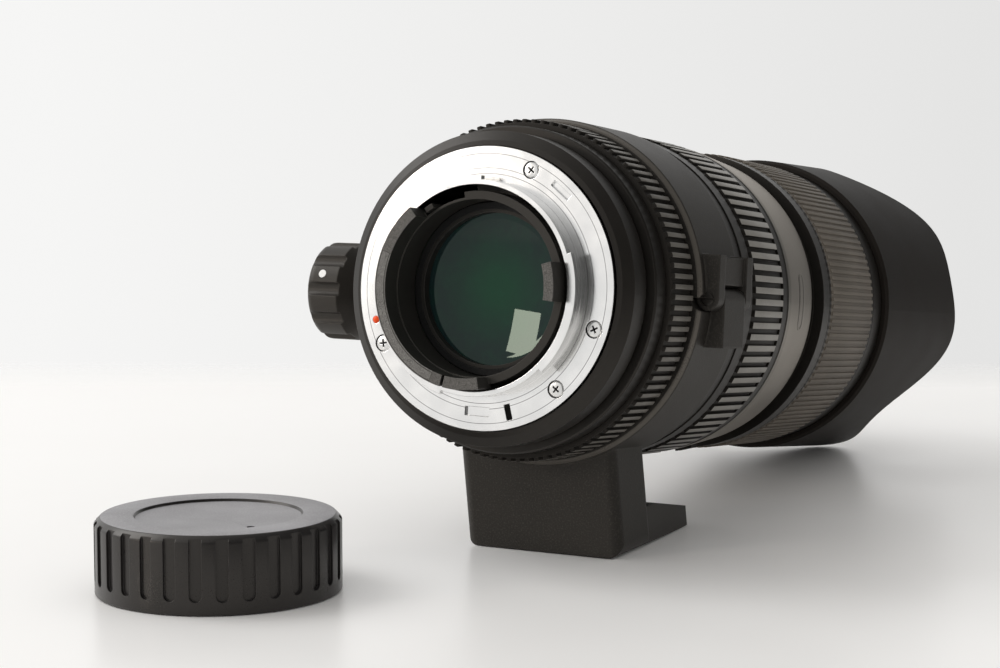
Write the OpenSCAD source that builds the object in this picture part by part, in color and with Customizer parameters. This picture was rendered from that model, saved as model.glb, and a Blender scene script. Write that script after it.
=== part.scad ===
// Camera zoom lens with tripod collar, petal hood and rear cap.
// Millimetres. The table is z = 0, and the origin is the mouth of the tripod thread in the foot.
// The lens lies as it does on a table: on its foot and the edge of its hood, nose slightly down.

/* [Resting pose] */
// Dip of the optical axis toward the front, in degrees
nose_down = 5.6; // [5:0.1:6.2]
// Level distance from the bayonet seat to the tripod thread
flange_to_thread = 65.4; // [63:0.1:67]
// Clearance between the edge of the hood and the table
table_gap = 0.1; // [0.1:0.1:0.5]

/* [Bayonet mount] */
// Width of the flange outside its lugs
flange_rim = 7.4; // [6.8:0.1:7.8]
// Thickness of the flange
flange_t = 2.6; // [2.4:0.1:3]
// Wall of the boss behind the flange
boss_wall = 1.15; // [0.9:0.05:1.5]
// Length of the boss behind the flange
boss_len = 5.5; // [5:0.1:6.5]
// Height of the three bayonet lugs over the boss
lug_rise = 1; // [0.8:0.1:1.2]
// Thickness of a lug
lug_t = 1.7; // [1.4:0.1:2]
// Radius of the bore through the mount
throat_r = 24.85; // [24.6:0.05:25]
// Distance of the circle of mount screws from the flange's edge
screw_inset = 3.5; // [3:0.1:4]
// Shank radius of a mount screw
screw_r = 1; // [0.8:0.1:1.2]
// Head radius of a mount screw
screw_head_r = 2.1; // [1.8:0.1:2.3]
// Head height of a mount screw
screw_head_t = 1.1; // [0.9:0.1:1.3]
// Length of a mount screw under its head
screw_len = 5; // [4:0.1:5.5]
// Radius of the index bead
bead_r = 0.9; // [0.7:0.1:1.1]

/* [Rear guard] */
// Gap between the guard sleeve and the bore of the mount
guard_gap = 1.55; // [1.4:0.05:1.8]
// Wall of the guard sleeve
guard_wall = 2; // [1.6:0.1:2.4]
// Reach of the sleeve behind the bayonet seat
guard_reach = 4.5; // [4:0.1:5]
// Reach of the fins behind the bayonet seat
fin_reach = 10.2; // [8:0.1:12]
// Gap between the fins and the bore of the mount
fin_gap = 0.45; // [0.4:0.05:0.8]
// Wall of the fins
fin_wall = 2.8; // [2.6:0.1:3]
// Thickness of the guard's seating flange
guard_flange_t = 1.3; // [1:0.1:1.6]

/* [Rear barrel] */
// Rise of the rear lip over the flange
lip_rise = 4; // [3.4:0.1:4.6]
// End of the rear lip, from the bayonet seat
lip_end = 9.6; // [9:0.1:10.4]
// Width of the groove in front of the lip
groove_w = 1.7; // [1.4:0.1:2]
// Depth of that groove
groove_d = 0.8; // [0.5:0.1:1]
// Rise of the shoulder behind the aperture ring over the ring's journal
shoulder_rise = 0.9; // [0.6:0.1:1.3]
// Width of that shoulder
shoulder_w = 5.7; // [5:0.1:7]
// Wall of the rear barrel under the aperture ring
rear_wall = 3.5; // [3:0.1:4]
// Drop from the main tube to the journal of the aperture ring
journal_drop = 1; // [0.8:0.1:1.3]

/* [Rings] */
// Width of the aperture ring
aperture_w = 12.1; // [11:0.1:13]
// Thickness of the aperture ring over its ribs
aperture_t = 3.05; // [2.6:0.05:3.4]
// Ribs on the aperture ring
aperture_ribs = 104; // [80:1:120]
// Width of the zoom ring
zoom_w = 32.4; // [32:0.1:34]
// Wall of the zoom ring under its grip
zoom_wall = 1.65; // [1.5:0.05:2]
// Thickness of the zoom grip over its ribs
zoom_grip_t = 1.4; // [1.2:0.1:1.8]
// Width of the zoom grip
zoom_grip_w = 22.5; // [18:0.1:26]
// Ribs on the zoom grip
zoom_ribs = 88; // [60:1:96]
// Depth of the ribs on the grips
rib_depth = 0.9; // [0.6:0.1:1]
// Width of the focus ring
focus_w = 40.4; // [40:0.1:42]
// Wall of the focus ring under its grip
focus_wall = 1.25; // [1.1:0.05:1.6]
// Thickness of the focus grip over its ribs
focus_grip_t = 1.1; // [0.9:0.1:1.5]
// Bare edge of the focus ring on each side of its grip
focus_edge = 1.4; // [1:0.1:2]
// Ribs on the focus grip
focus_ribs = 132; // [100:1:140]
// Depth of the fine ribs on the focus grip
fine_rib_depth = 0.5; // [0.3:0.1:0.7]

/* [Barrel] */
// Drop from the plain rings beside the focus ring to the main tube
tube_drop = 2.5; // [2.3:0.1:2.7]
// Wall of the main tube
tube_wall = 1.9; // [1.8:0.1:2]
// Width of the main tube's shoulder behind the collar
back_stop_w = 0.8; // [0.6:0.1:1.2]
// Rise of that shoulder over the main tube
back_stop_rise = 0.5; // [0.4:0.1:0.9]
// Width of the plain ring in front of the collar
front_stop_w = 5.9; // [5:0.1:7]
// Rise of that plain ring over the main tube
front_stop_rise = 2.3; // [1.6:0.1:2.6]
// Width of the satin band
band_w = 23; // [22:0.1:25]
// Thickness of the satin band at its rear
band_rear_t = 2.8; // [2.5:0.1:3.1]
// Thickness of the satin band at its front
band_front_t = 1.3; // [1.1:0.1:1.8]
// Width of the dark recess in front of the band
recess_w = 7; // [6:0.1:8]
// Drop from the main tube to that recess
recess_drop = 0.5; // [0.3:0.1:0.7]
// Width of the plain ring behind the focus ring
bead_ring_w = 5.3; // [5:0.1:6]
// Rise of the focus ring's journal over the main tube
focus_journal_rise = 0.6; // [0.5:0.1:0.7]
// Width of the nose in front of the focus ring, without the filter ring
nose_w = 7.7; // [7:0.1:9]
// Length of the filter ring
filter_w = 6; // [5.5:0.1:7]
// Radius of the filter thread at its crests, M77 by 0.75
filter_r = 38.1; // [38:0.05:38.15]
// Wall of the nose and the filter ring around the thread
nose_wall = 4.9; // [4.6:0.1:5.2]

/* [Tripod collar] */
// Width of the collar along the axis
collar_w = 26; // [25.5:0.1:27.5]
// Wall of the collar
collar_wall = 3.5; // [3.3:0.05:3.9]
// Chamfer along the rear of the collar
collar_chamfer = 0.8; // [0.6:0.1:1.2]
// Gap between the two halves of the collar
split_gap = 0.4; // [0.3:0.1:0.8]
// Distance of the hinge pin outside the collar
hinge_out = 0.5; // [0.3:0.1:0.7]
// Radius of the hinge knuckles
knuckle_r = 2.9; // [2.6:0.1:3]
// Radius of the hinge pin
pin_r = 1.2; // [1:0.1:1.4]
// Width of the two outer knuckles
outer_knuckle_w = 4; // [3:0.1:5]
// Width of the middle knuckle
middle_knuckle_w = 14; // [12:0.1:15]
// Radius of the clamp knob
knob_r = 13.15; // [12:0.05:14]
// Length of the clamp knob
knob_len = 16.7; // [15:0.1:18]
// Flutes on the clamp knob
knob_flutes = 10; // [8:1:12]
// Radius of the clamp stud
stud_r = 2.5; // [2:0.1:3]
// Thickness of the tongue on the upper half that takes the stud
tongue_t = 4.4; // [4:0.1:5]
// Thickness of the slotted ear on the lower half
ear_t = 3.7; // [3:0.1:4.5]
// Half height of the tongue
tongue_h = 6; // [5:0.1:7]
// Distance of the clamp stud below the middle of the collar
stud_drop = 2; // [1:0.1:2.5]

/* [Foot] */
// Half width of the foot
sole_half_w = 22; // [20:0.1:24]
// Lean of the foot to the right of the lens, in degrees
foot_lean = 5.5; // [3:0.1:7]
// Distance of the sole's middle to the right of the tripod thread
sole_shift = 1.8; // [0:0.1:3]
// Rounding of the foot's lower edges along its sides
sole_corner_r = 3.5; // [2.5:0.1:4.5]
// Thickness of the web along the lens
web_t = 20.5; // [18:0.1:22]
// Distance from the tripod thread back to the middle of the web
web_setback = 26.2; // [25:0.1:28]
// Distance from the tripod thread to the front edge of the toe
toe_reach = 16.9; // [14:0.1:20]
// Thickness of the toe in front of the web
toe_root_t = 10.2; // [9.5:0.1:11]
// Thickness of the toe at its front edge
toe_tip_t = 5.2; // [5:0.1:6]
// Half width of the toe at its front edge
toe_half_w = 18.7; // [17:0.1:20]
// Corner radius of the foot, seen from above
foot_corner_r = 3; // [2:0.1:4]
// Fillet between toe and web
toe_fillet_r = 5; // [3:0.1:7]
// Outer radius of the thread bush
bush_r = 5.5; // [5:0.1:6.5]
// Radius of the tripod thread, quarter inch, at its crests
thread_r = 2.6; // [2.5:0.05:2.7]
// Depth of the tripod thread
thread_depth = 5.5; // [5:0.1:5.8]

/* [Hood] */
// Rise of the hood's rear edge over the nose
hood_rise = 2.2; // [2:0.1:2.6]
// Flare of the hood from its rear edge to the tip of a long petal
hood_flare = 1.9; // [1.4:0.1:2.6]
// Wall of the hood
hood_wall = 2; // [1.7:0.1:2.2]
// Overlap of the hood and the nose of the lens
hood_overlap = 6; // [5.4:0.1:6.6]
// Mean length of the hood
hood_len = 55.4; // [53:0.1:58]
// Swing of the edge between long and short petals
petal_swing = 11.1; // [9:0.1:13]
// Depth of the valleys between petals
petal_valley = 7.9; // [6:0.1:10]
// Fullness of the petals between their middle and their sides
petal_full = 7.9; // [5:0.1:9]
// Clock angle of a long petal, counter-clockwise from the right, seen from behind
petal_clock = 193; // [188:1:198]

/* [Optics] */
// Gap between the rear cell and the guard sleeve
rear_cell_gap = 0.2; // [0.1:0.05:0.4]
// Wall of the rear cell around the rear element
rear_cell_wall = 1.6; // [1.4:0.05:1.65]
// Wall of the front cell around the front element
front_cell_wall = 2.1; // [1.8:0.1:2.6]
// Wall of the zoom cells around their elements
group_cell_wall = 5.25; // [4.5:0.05:6]
// Distance of the open iris inside the circle of blade pivots
iris_inset = 5.6; // [5.4:0.1:6.6]
// Width of an iris blade
blade_w = 4.2; // [3.6:0.1:4.4]
// Thickness of an iris blade
blade_t = 0.2; // [0.15:0.05:0.25]
// Distance between the layers of the iris blades
blade_pitch = 0.5; // [0.45:0.05:0.55]
// Distance of the circle of blade pivots inside the lever's rod
pivot_inset = 1.5; // [1.2:0.1:1.7]
// Distance of the lever's rod inside the rear barrel's bore
lever_inset = 4.5; // [4:0.1:5]
// Turn of the zoom ring, in degrees
zoom_turn = 75; // [60:1:80]
// Travel of the variator toward the rear
variator_travel = 21; // [18:0.5:22]
// Travel of the compensator toward the front
compensator_travel = 5; // [4:0.1:6]
// Turn of the focus ring, in degrees
focus_turn = 120; // [90:1:130]
// Travel of the focus group toward the front
focus_travel = 12; // [8:0.5:13]
// Radius of the guide pins
guide_pin_r = 1.5; // [1.2:0.1:1.8]

/* [Rear cap] */
// Clearance of the cap around the bayonet lugs
cap_fit = 0.3; // [0.2:0.05:0.5]
// Height of the cap
cap_h = 18; // [16:0.1:20]
// Wall of the cap
cap_wall = 1.7; // [1.5:0.1:2.4]
// Thickness of the cap's closed end
cap_end_t = 2.6; // [2.4:0.1:3]
// Radius of the shallow recess in the cap's closed end
cap_recess_r = 19.5; // [18:0.1:21]
// Grip grooves around the cap
cap_grooves = 30; // [24:1:36]
// Sideways distance of the cap from the lens, to the left
cap_left = 47; // [44:1:70]
// Distance of the cap behind the tripod thread
cap_back = 110; // [104:1:130]

/* [Hidden] */
$fn = 96;
// Running clearance between turning or sliding pieces
run_gap = 0.05;
// Clearance of a static fit
seat_gap = 0.03;
// Gap between faces that pass each other
side_gap = 0.3;
// Overshoot of a cut past the face that it opens
over = 1;

// Clock angles, counter-clockwise from the right, seen from behind
lug_clocks = [[-45, 20], [88, 150], [193, 253]];
screw_clocks = [68.5, -16, -48.5, 208];
bead_clock = 196.5;
lock_slot_clock = 285.5;
key_recess_clock = 51;
pocket_clock = 269.4;
fin_slit_clock = 258;
tab_clocks = [-6, 17];
contact_clocks = [160, 250];
lever_clock = 124;
lever_window = [lever_clock - 24, lever_clock + 6];
fin_clocks = [lever_window[1], 282];
board_clocks = [150, 330];
window_clock = 195;
switch_clock = 285;
guide_clocks = [60, 180, 300];
focus_clocks = [60, 240];
key_clock = 60;

// Stations along the axis, from the bayonet seat toward the front
groove_end = lip_end + groove_w;
aperture_rear = groove_end + shoulder_w;
aperture_front = aperture_rear + aperture_w + 2 * side_gap;
back_stop_end = aperture_front + back_stop_w;
collar_rear = back_stop_end + side_gap;
collar_front = collar_rear + collar_w;
front_stop = collar_front + side_gap;
front_stop_end = front_stop + front_stop_w;
zoom_rear = front_stop_end + side_gap;
zoom_front = zoom_rear + zoom_w;
band_rear = zoom_front + side_gap;
band_front = band_rear + band_w;
recess_front = band_front + recess_w;
bead_ring_front = recess_front + bead_ring_w;
focus_rear = bead_ring_front + side_gap;
focus_front = focus_rear + focus_w;
nose_rear = focus_front + side_gap;
nose_front = nose_rear + nose_w;
filter_front = nose_front + filter_w;
hood_rear = filter_front - hood_overlap;
collar_mid = (collar_rear + collar_front) / 2;

// Radii of the nose and the main tube, from the filter thread
nose_r = filter_r + nose_wall;
bead_ring_r = nose_r;
tube_r = bead_ring_r - tube_drop;

// Radii at the mount, from the throat outward
boss_r = throat_r + boss_wall;
lug_r = boss_r + lug_rise;
flange_r = lug_r + flange_rim;
screw_circle_r = flange_r - screw_inset;
fin_r = throat_r - fin_gap;
guard_out_r = throat_r - guard_gap;
guard_r = guard_out_r - guard_wall;
guard_lip_r = screw_circle_r - screw_head_r - 0.4;
screw_ring_r = guard_lip_r + 0.1;
shelf_r = guard_lip_r - 1.9;
lip_r = flange_r + lip_rise;
aperture_journal_r = tube_r - journal_drop;
shoulder_r = aperture_journal_r + shoulder_rise;
aperture_bore_r = aperture_journal_r + run_gap;
aperture_r = aperture_bore_r + aperture_t;
rear_bore_r = aperture_journal_r - rear_wall;

// Radii along the barrel, from the main tube inward
step_rise = 1.2;
cam_wall = 1.6;
guide_wall = 1.6;
tube_bore_r = tube_r - tube_wall;
step_bore_r = tube_bore_r - step_rise;
cam_r = tube_bore_r - run_gap;
cam_bore_r = cam_r - cam_wall;
guide_r = cam_bore_r - run_gap;
guide_bore_r = guide_r - guide_wall;
group_r = guide_bore_r - run_gap;
group_glass_r = group_r - group_cell_wall;
front_bore_r = tube_bore_r;
front_glass_r = front_bore_r - front_cell_wall;
second_glass_r = front_glass_r - 2;
seat_step = 1;
front_land = front_glass_r - second_glass_r + seat_step + 0.1;
focus_cell_r = front_bore_r - run_gap;
rear_cell_r = guard_r - rear_cell_gap;
rear_glass_r = rear_cell_r - rear_cell_wall;

// Radii along the barrel, from the main tube outward
back_stop_r = tube_r + back_stop_rise;
front_stop_r = tube_r + front_stop_rise;
collar_bore_r = tube_r + run_gap;
collar_r = collar_bore_r + collar_wall;
hinge_x = collar_r + hinge_out;
zoom_bore_r = tube_r + run_gap;
zoom_r = zoom_bore_r + zoom_wall;
zoom_grip_r = zoom_r + zoom_grip_t;
band_rear_r = tube_r + band_rear_t;
band_front_r = tube_r + band_front_t;
recess_r = tube_r - recess_drop;
focus_journal_r = tube_r + focus_journal_rise;
focus_bore_r = focus_journal_r + run_gap;
focus_r = focus_bore_r + focus_wall;
focus_grip_r = focus_r + focus_grip_t;
hood_rear_r = nose_r + hood_rise;
hood_tip_r = hood_rear_r + hood_flare;
cap_r = lug_r + cap_fit + cap_wall;

// Contact block in the main fin
block_t = 1;
block_rear_edge = 0.8;
block_front_edge = 0.2;
block_rear = -fin_reach + block_rear_edge;
block_front = -guard_reach - block_front_edge;
contact_count = 8;
contact_r = 0.7;
contact_rise = 0.1;

// Index bead in the flange
bead_depth = 1;
bead_rise = 0.4;
bead_edge = 0.05;

// Shelf of the rear barrel and the board that stands in it
shelf = flange_t + guard_flange_t;
shelf_t = 4.1;
shelf_end = shelf + shelf_t;
board_gap = 3.9;
board_t = 1.6;
board_run = 8;
board_ledge = shelf_end + board_run;
board_ledge_t = 1.5;
rear_spigot_len = 6;
spigot_wall = 1.8;
step_t = 1.7;

// Inner stations
iris_setback = 0.25;
iris_rear = collar_mid + iris_setback;
iris_plate_t = 1.5;
filter_spigot = 3;
filter_spigot_wall = 2.9;
front_cell_len = 16.8;
front_cell_front = nose_front - filter_spigot - 0.5;
front_cell_rear = front_cell_front - front_cell_len;
front_z = front_cell_rear + 8;
front_glass_t = 4;
front_sag = 3.6;
second_z = front_cell_rear + 6;
second_glass_t = 5;
rear_glass_z = shelf + 1;
rear_glass_t = 3.6;
rear_ring_lap = 0.9;
rear_ring_t = 2.5;
rear_seat_z = rear_glass_z - rear_ring_lap + rear_ring_t;
glass_seat = 1.5;
glass_land = glass_seat + 0.1;
relay_depth = 4;
relay_t = 3;
cell_flange_t = 2.5;

// Iris, from its rear plate forward
blade_count = 7;
blade_room = 0.8;
drive_room = 0.6;
drive_t = 2;
iris_cover_t = 3.3;
iris_wall_t = 2.1;
plate_gap = 0.2;
first_blade_z = iris_rear + iris_plate_t + blade_room;
drive_rear = first_blade_z + blade_count * blade_pitch + drive_room;
iris_front = drive_rear + drive_t + side_gap + iris_cover_t;
iris_wall_r = tube_bore_r - iris_wall_t;
lever_rod_r = rear_bore_r - lever_inset;
lever_rod_t = 1.6;
lever_slot = 1.4;
lever_half_w = 1.1;
lever_tip_t = 1.2;
lever_tip_gap = 0.8;
lever_tip_r = guard_r + lever_tip_gap;
lever_run = 4;
lever_arm_z = shelf_end + lever_run;
lever_arm_t = 1.6;
blade_pivot_r = lever_rod_r - pivot_inset;
iris_r = blade_pivot_r - iris_inset;
blade_pin_r = 0.7;
blade_ear_r = 1.6;
blade_arm_w = 1.4;
blade_reach = 100;
first_blade_clock = lever_clock - 34;

// Zoom and focus groups
guide_flange_t = 2.2;
spigot_len = 2;
spigot_t = 2;
group_len = 12;
group_seat = 3;
group_glass_t = 3;
variator_glass_t = 6;
pin_depth = 3;
pin_end_gap = 0.2;
cam_rear = iris_front + guide_flange_t + side_gap;
cam_front = band_front - spigot_len - side_gap;
compensator_rear = cam_rear + 3.5;
compensator_pin = compensator_rear + group_len / 2;
variator_front = cam_front - 2.6;
variator_rear = variator_front - group_len;
variator_pin = variator_rear + group_len / 2;
zoom_key_z = zoom_front - 4;
zoom_key_r = 2;
ring_edge_rise = 0.9;
grip_margin = 0.6;
grip_rear = zoom_rear + (zoom_w - zoom_grip_w) / 2 + 0.8;
motor_rear = band_front + 3;
motor_len = 8;
motor_wall = 5;
focus_cell_rear = motor_rear + motor_len + 4;
focus_pin = focus_cell_rear + group_len / 2;
straight_slot_r = guide_pin_r + 0.1;
helical_slot_r = guide_pin_r + 0.35;

// Window and switch in the satin band
window_rear = band_rear + 6;
window_len = 10;
window_half = 9;
window_sink = 0.1;
switch_len = 4;
switch_w = 5;
switch_travel = 3;
switch_rear = band_rear + 8;

// Groove of the hood's bayonet in the filter ring
hood_groove = nose_front + 1.5;
hood_groove_w = 2.2;
hood_groove_r = nose_r - 1.4;
hood_lug_half = 14;

// Petal edge of the hood, at an angle from a long petal
function petal_edge(a) = hood_rear + hood_len + petal_swing * cos(2 * a) + petal_valley * cos(4 * a)
    - petal_full * cos(6 * a);
hood_tip = max([for (a = [0:1:90]) petal_edge(a)]);
function hood_r_at(z) = hood_rear_r + (hood_tip_r - hood_rear_r) * (z - hood_rear) / (hood_tip - hood_rear);

// Height of the optical axis at the bayonet seat, with the lowest petal's edge just off the table
function edge_drop(phi) = petal_edge(phi - petal_clock) * sin(nose_down)
    - hood_r_at(petal_edge(phi - petal_clock)) * sin(phi) * cos(nose_down);
axis_h = max([for (phi = [240:1:300]) edge_drop(phi)]) + table_gap;

// Closed end of the thread bush
bush_end_t = 1;

// Clamp, along the left side of the collar. The tongue swings out a little as it lifts past the ear
ear_gap = 0.6;
tongue_in = collar_r + side_gap;
tongue_out = tongue_in + tongue_t;
ear_in = tongue_out + ear_gap;
ear_out = ear_in + ear_t;
knob_in = ear_out + 0.5;
knob_out = knob_in + knob_len;
clamp_w = 16;
ear_root_h = 8;
stud_grip = 11;
stud_inset = 0.4;
dot_r = 1.1;
dot_sink = 0.5;
dot_inset = 5;
dot_clock = 199.4;

// Hinge knuckles along the axis
knuckle_root = 0.8;
knuckle_block_h = 11;
base_block_h = 12;
// Bridge between the upper half's outer knuckles, above the middle one
bridge_out = 2;
bridge_top = knuckle_block_h - 0.4;
bridge_foot = knuckle_r + 0.7;
hinge_rear = collar_rear + 2.7;
middle_rear = hinge_rear + outer_knuckle_w + side_gap;
middle_front = middle_rear + middle_knuckle_w;
outer_rear = middle_front + side_gap;
hinge_front = outer_rear + outer_knuckle_w;

// Places a piece that is built along its own optical axis into the lens on the table
module posed() {
    translate([0, -flange_to_thread, axis_h]) rotate([-90 - nose_down, 0, 0]) children();
}

// Turns +X to a clock angle seen from behind
module clock(phi) {
    rotate([0, 0, -phi]) children();
}

// A plain ring along the axis
module ring(r_in, r_out, z0, z1) {
    rotate_extrude() translate([r_in, z0]) square([r_out - r_in, z1 - z0]);
}

// A stretch of a ring between two clock angles
module arc(r_in, r_out, z0, z1, clocks) {
    clock(clocks[1]) rotate_extrude(angle = clocks[1] - clocks[0])
        translate([r_in, z0]) square([r_out - r_in, z1 - z0]);
}

// A radial pin from one radius to another
module radial_pin(phi, r, r_in, r_out, z) {
    clock(phi) translate([r_in, 0, z]) rotate([0, 90, 0]) cylinder(r = r, h = r_out - r_in);
}

// A straight slot along the axis, cut through a tube wall
module straight_slot(phi, r, r_in, r_out, z0, z1) {
    radial_pin(phi, r, r_in, r_out, z0);
    radial_pin(phi, r, r_in, r_out, z1);
    clock(phi) translate([r_in, -r, z0]) cube([r_out - r_in, 2 * r, z1 - z0]);
}

// A helical slot that a pin follows while the tube turns and the pin goes from z_rest to z_end
module helical_slot(phi, r, r_in, r_out, z_rest, z_end, turn) {
    travel = z_end - z_rest;
    slope = atan(abs(travel) / (r_out * turn * PI / 180));
    half = r / cos(slope) * turn / abs(travel);
    low = min(z_rest, z_end) - r;
    high = max(z_rest, z_end) + r;
    arc_points = [for (i = [-2:2]) i / 2 * half];
    sector = concat(
        [for (a = arc_points) r_out * [cos(a), sin(a)]],
        [for (i = [4:-1:0]) r_in * [cos(arc_points[i]), sin(arc_points[i])]]);
    start = -phi - turn * (low - z_rest) / travel;
    translate([0, 0, low]) rotate([0, 0, start])
        linear_extrude(height = high - low, twist = turn * (high - low) / travel, slices = 16, $fn = 13)
            polygon(sector);
}

// A sleeve with straight ribs along it
module ribbed_sleeve(r_in, r_root, r_tip, z0, z1, count, share) {
    step = 360 / count;
    points = [for (i = [0:count - 1]) for (p = [[-0.5, r_root], [-share / 2 - 0.04, r_root],
        [-share / 2, r_tip], [share / 2, r_tip], [share / 2 + 0.04, r_root]])
        p[1] * [cos((i + p[0]) * step), sin((i + p[0]) * step)]];
    translate([0, 0, z0]) linear_extrude(height = z1 - z0) difference() {
        polygon(points);
        circle(r = r_in, $fn = 360);
    }
}

// A turned disc with an edge from z0 to z1 and two curved faces. A negative sag is a hollow face.
// The rear face has a flat land at its edge that lies on the seat
module glass(r, z0, z1, rear_sag, front_sag, land) {
    steps = [0:0.125:1];
    rotate_extrude() polygon(concat(
        [for (q = steps) [(r - land) * q, z0 - rear_sag * (1 - q * q)]], [[r, z0]],
        [for (q = steps) [r * (1 - q), z1 + front_sag * (1 - (1 - q) * (1 - q))]]));
}

// Cutter for the screw holes through the mount and into the barrel
module screw_holes() {
    for (phi = screw_clocks) clock(phi) translate([screw_circle_r, 0, 0]) {
        translate([0, 0, -over]) cylinder(r = screw_r + run_gap, h = screw_head_t + screw_len + 2 * over);
        translate([0, 0, -over]) cylinder(r = screw_head_r + run_gap, h = screw_head_t + over);
    }
}

// Half of the collar's ring with its rear chamfer
module collar_half(clocks) {
    edge = 0.3;
    front_bevel = 1;
    clock(clocks[1]) rotate_extrude(angle = clocks[1] - clocks[0]) polygon([
        [collar_bore_r, collar_rear], [collar_r - collar_chamfer, collar_rear],
        [collar_r - edge, collar_rear + collar_chamfer], [collar_r, collar_rear + collar_chamfer + edge],
        [collar_r, collar_front - front_bevel], [collar_r - front_bevel, collar_front],
        [collar_bore_r, collar_front]]);
}

// A hinge knuckle with its block on the side given by up, 1 or -1
module knuckle(z0, z1, up, block_h) {
    translate([hinge_x, 0, z0]) cylinder(r = knuckle_r, h = z1 - z0);
    translate([collar_bore_r + knuckle_root, up > 0 ? -block_h : 0, z0])
        cube([hinge_x + knuckle_r - collar_bore_r - knuckle_root, block_h, z1 - z0]);
}

// Room for the other half's knuckle
module knuckle_room(z0, z1) {
    translate([hinge_x, 0, z0]) cylinder(r = knuckle_r + side_gap, h = z1 - z0);
}

// The bore through all knuckles
module hinge_bore(gap) {
    translate([hinge_x, 0, collar_rear]) cylinder(r = pin_r + gap, h = collar_w);
}

// Plan outline of the foot, rounded at its corners
module foot_plan(half_rear, half_front, y0, y1) {
    r = foot_corner_r;
    for (s = [-1, 1]) {
        translate([s * (half_rear - r), y0 + r]) circle(r = r);
        translate([s * (half_front - r), y1 - r]) circle(r = r);
    }
    polygon([[-half_rear, y0 + r], [-half_rear + r, y0], [half_rear - r, y0], [half_rear, y0 + r],
        [half_front, y1 - r], [half_front - r, y1], [-half_front + r, y1], [-half_front, y1 - r]]);
}

// The toe that carries the tripod thread, with its fillet to the web
module foot_toe(rear, front) {
    nose = 1.5;
    fillet_half = toe_half_w - over;
    web_half = sole_half_w * cos(foot_lean);
    intersection() {
        rotate([0, -foot_lean, 0]) translate([0, 0, -sole_corner_r])
            linear_extrude(height = toe_root_t + 2 * sole_corner_r)
                foot_plan(web_half, toe_half_w, rear + over, toe_reach);
        rotate([90, 0, 90]) linear_extrude(height = 3 * sole_half_w, center = true) polygon([
            [rear, 0], [toe_reach, 0], [toe_reach, toe_tip_t - nose], [toe_reach - nose, toe_tip_t],
            [front + toe_fillet_r, toe_root_t], [rear, toe_root_t]]);
    }
    difference() {
        translate([-fillet_half, front - over, toe_root_t - over])
            cube([2 * fillet_half, toe_fillet_r + over, toe_fillet_r + over]);
        translate([-fillet_half - over, front + toe_fillet_r, toe_root_t + toe_fillet_r]) rotate([0, 90, 0])
            cylinder(r = toe_fillet_r, h = 2 * fillet_half + 2 * over);
    }
}

// Web and toe. The web leans over the sole, and the lower edges along the sides are rounded
module foot() {
    rear = -web_setback - web_t / 2;
    front = rear + web_t;
    root_h = axis_h - collar_r * 0.75;
    web_len = root_h / cos(foot_lean);
    web_half = sole_half_w * cos(foot_lean);
    round_in = sole_corner_r * (1 - tan(foot_lean));
    left = sole_shift - sole_half_w;
    right = sole_shift + sole_half_w - sole_corner_r * tan(foot_lean) - sole_corner_r;
    side = root_h * tan(foot_lean) + 2 * over;
    intersection() {
        union() {
            translate([sole_shift, 0, 0]) rotate([0, -foot_lean, 0]) translate([0, 0, -sole_corner_r])
                linear_extrude(height = web_len + sole_corner_r) foot_plan(web_half, web_half, rear, front);
            translate([sole_shift, 0, 0]) foot_toe(rear, front);
        }
        translate([0, toe_reach + over, 0]) rotate([90, 0, 0])
            linear_extrude(height = toe_reach - rear + 2 * over) polygon(concat(
                [for (a = [180:15:270]) [left + round_in, sole_corner_r] + sole_corner_r * [cos(a), sin(a)]],
                [for (a = [270:15:360]) [right, sole_corner_r] + sole_corner_r * [cos(a), sin(a)]],
                [[right + sole_corner_r + over, root_h], [left - side, root_h]]));
    }
}

// Lower half of the collar in one casting with the foot
module collar_base() {
    color([0.2, 0.2, 0.19]) difference() {
        union() {
            posed() difference() {
                collar_half([180, 360]);
                translate([-collar_r * 2, 0, 0]) cube([collar_r * 4, split_gap / 2, collar_front + over]);
            }
            posed() knuckle(middle_rear, middle_front, -1, base_block_h);
            posed() translate([-ear_out, tongue_h + stud_drop + side_gap, collar_mid - clamp_w / 2])
                cube([ear_out - collar_bore_r - over, ear_root_h, clamp_w]);
            posed() translate([-ear_out, -tongue_h, collar_mid - clamp_w / 2])
                cube([ear_t, 2 * tongue_h + stud_drop + over, clamp_w]);
            foot();
        }
        posed() translate([0, 0, collar_rear - over]) cylinder(r = collar_bore_r, h = filter_front);
        posed() knuckle_room(collar_rear - over, middle_rear);
        posed() knuckle_room(middle_front, collar_front + over);
        posed() hinge_bore(seat_gap);
        posed() translate([-ear_out - over, stud_drop, collar_mid]) rotate([0, 90, 0])
            cylinder(r = stud_r + side_gap, h = ear_t + over + side_gap / 2);
        posed() translate([-ear_out - over, -tongue_h - over, collar_mid - stud_r - side_gap])
            cube([ear_t + over + side_gap / 2, tongue_h + stud_drop + over, 2 * (stud_r + side_gap)]);
        translate([0, 0, -over]) cylinder(r = bush_r + seat_gap, h = thread_depth + bush_end_t + over);
    }
}

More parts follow.
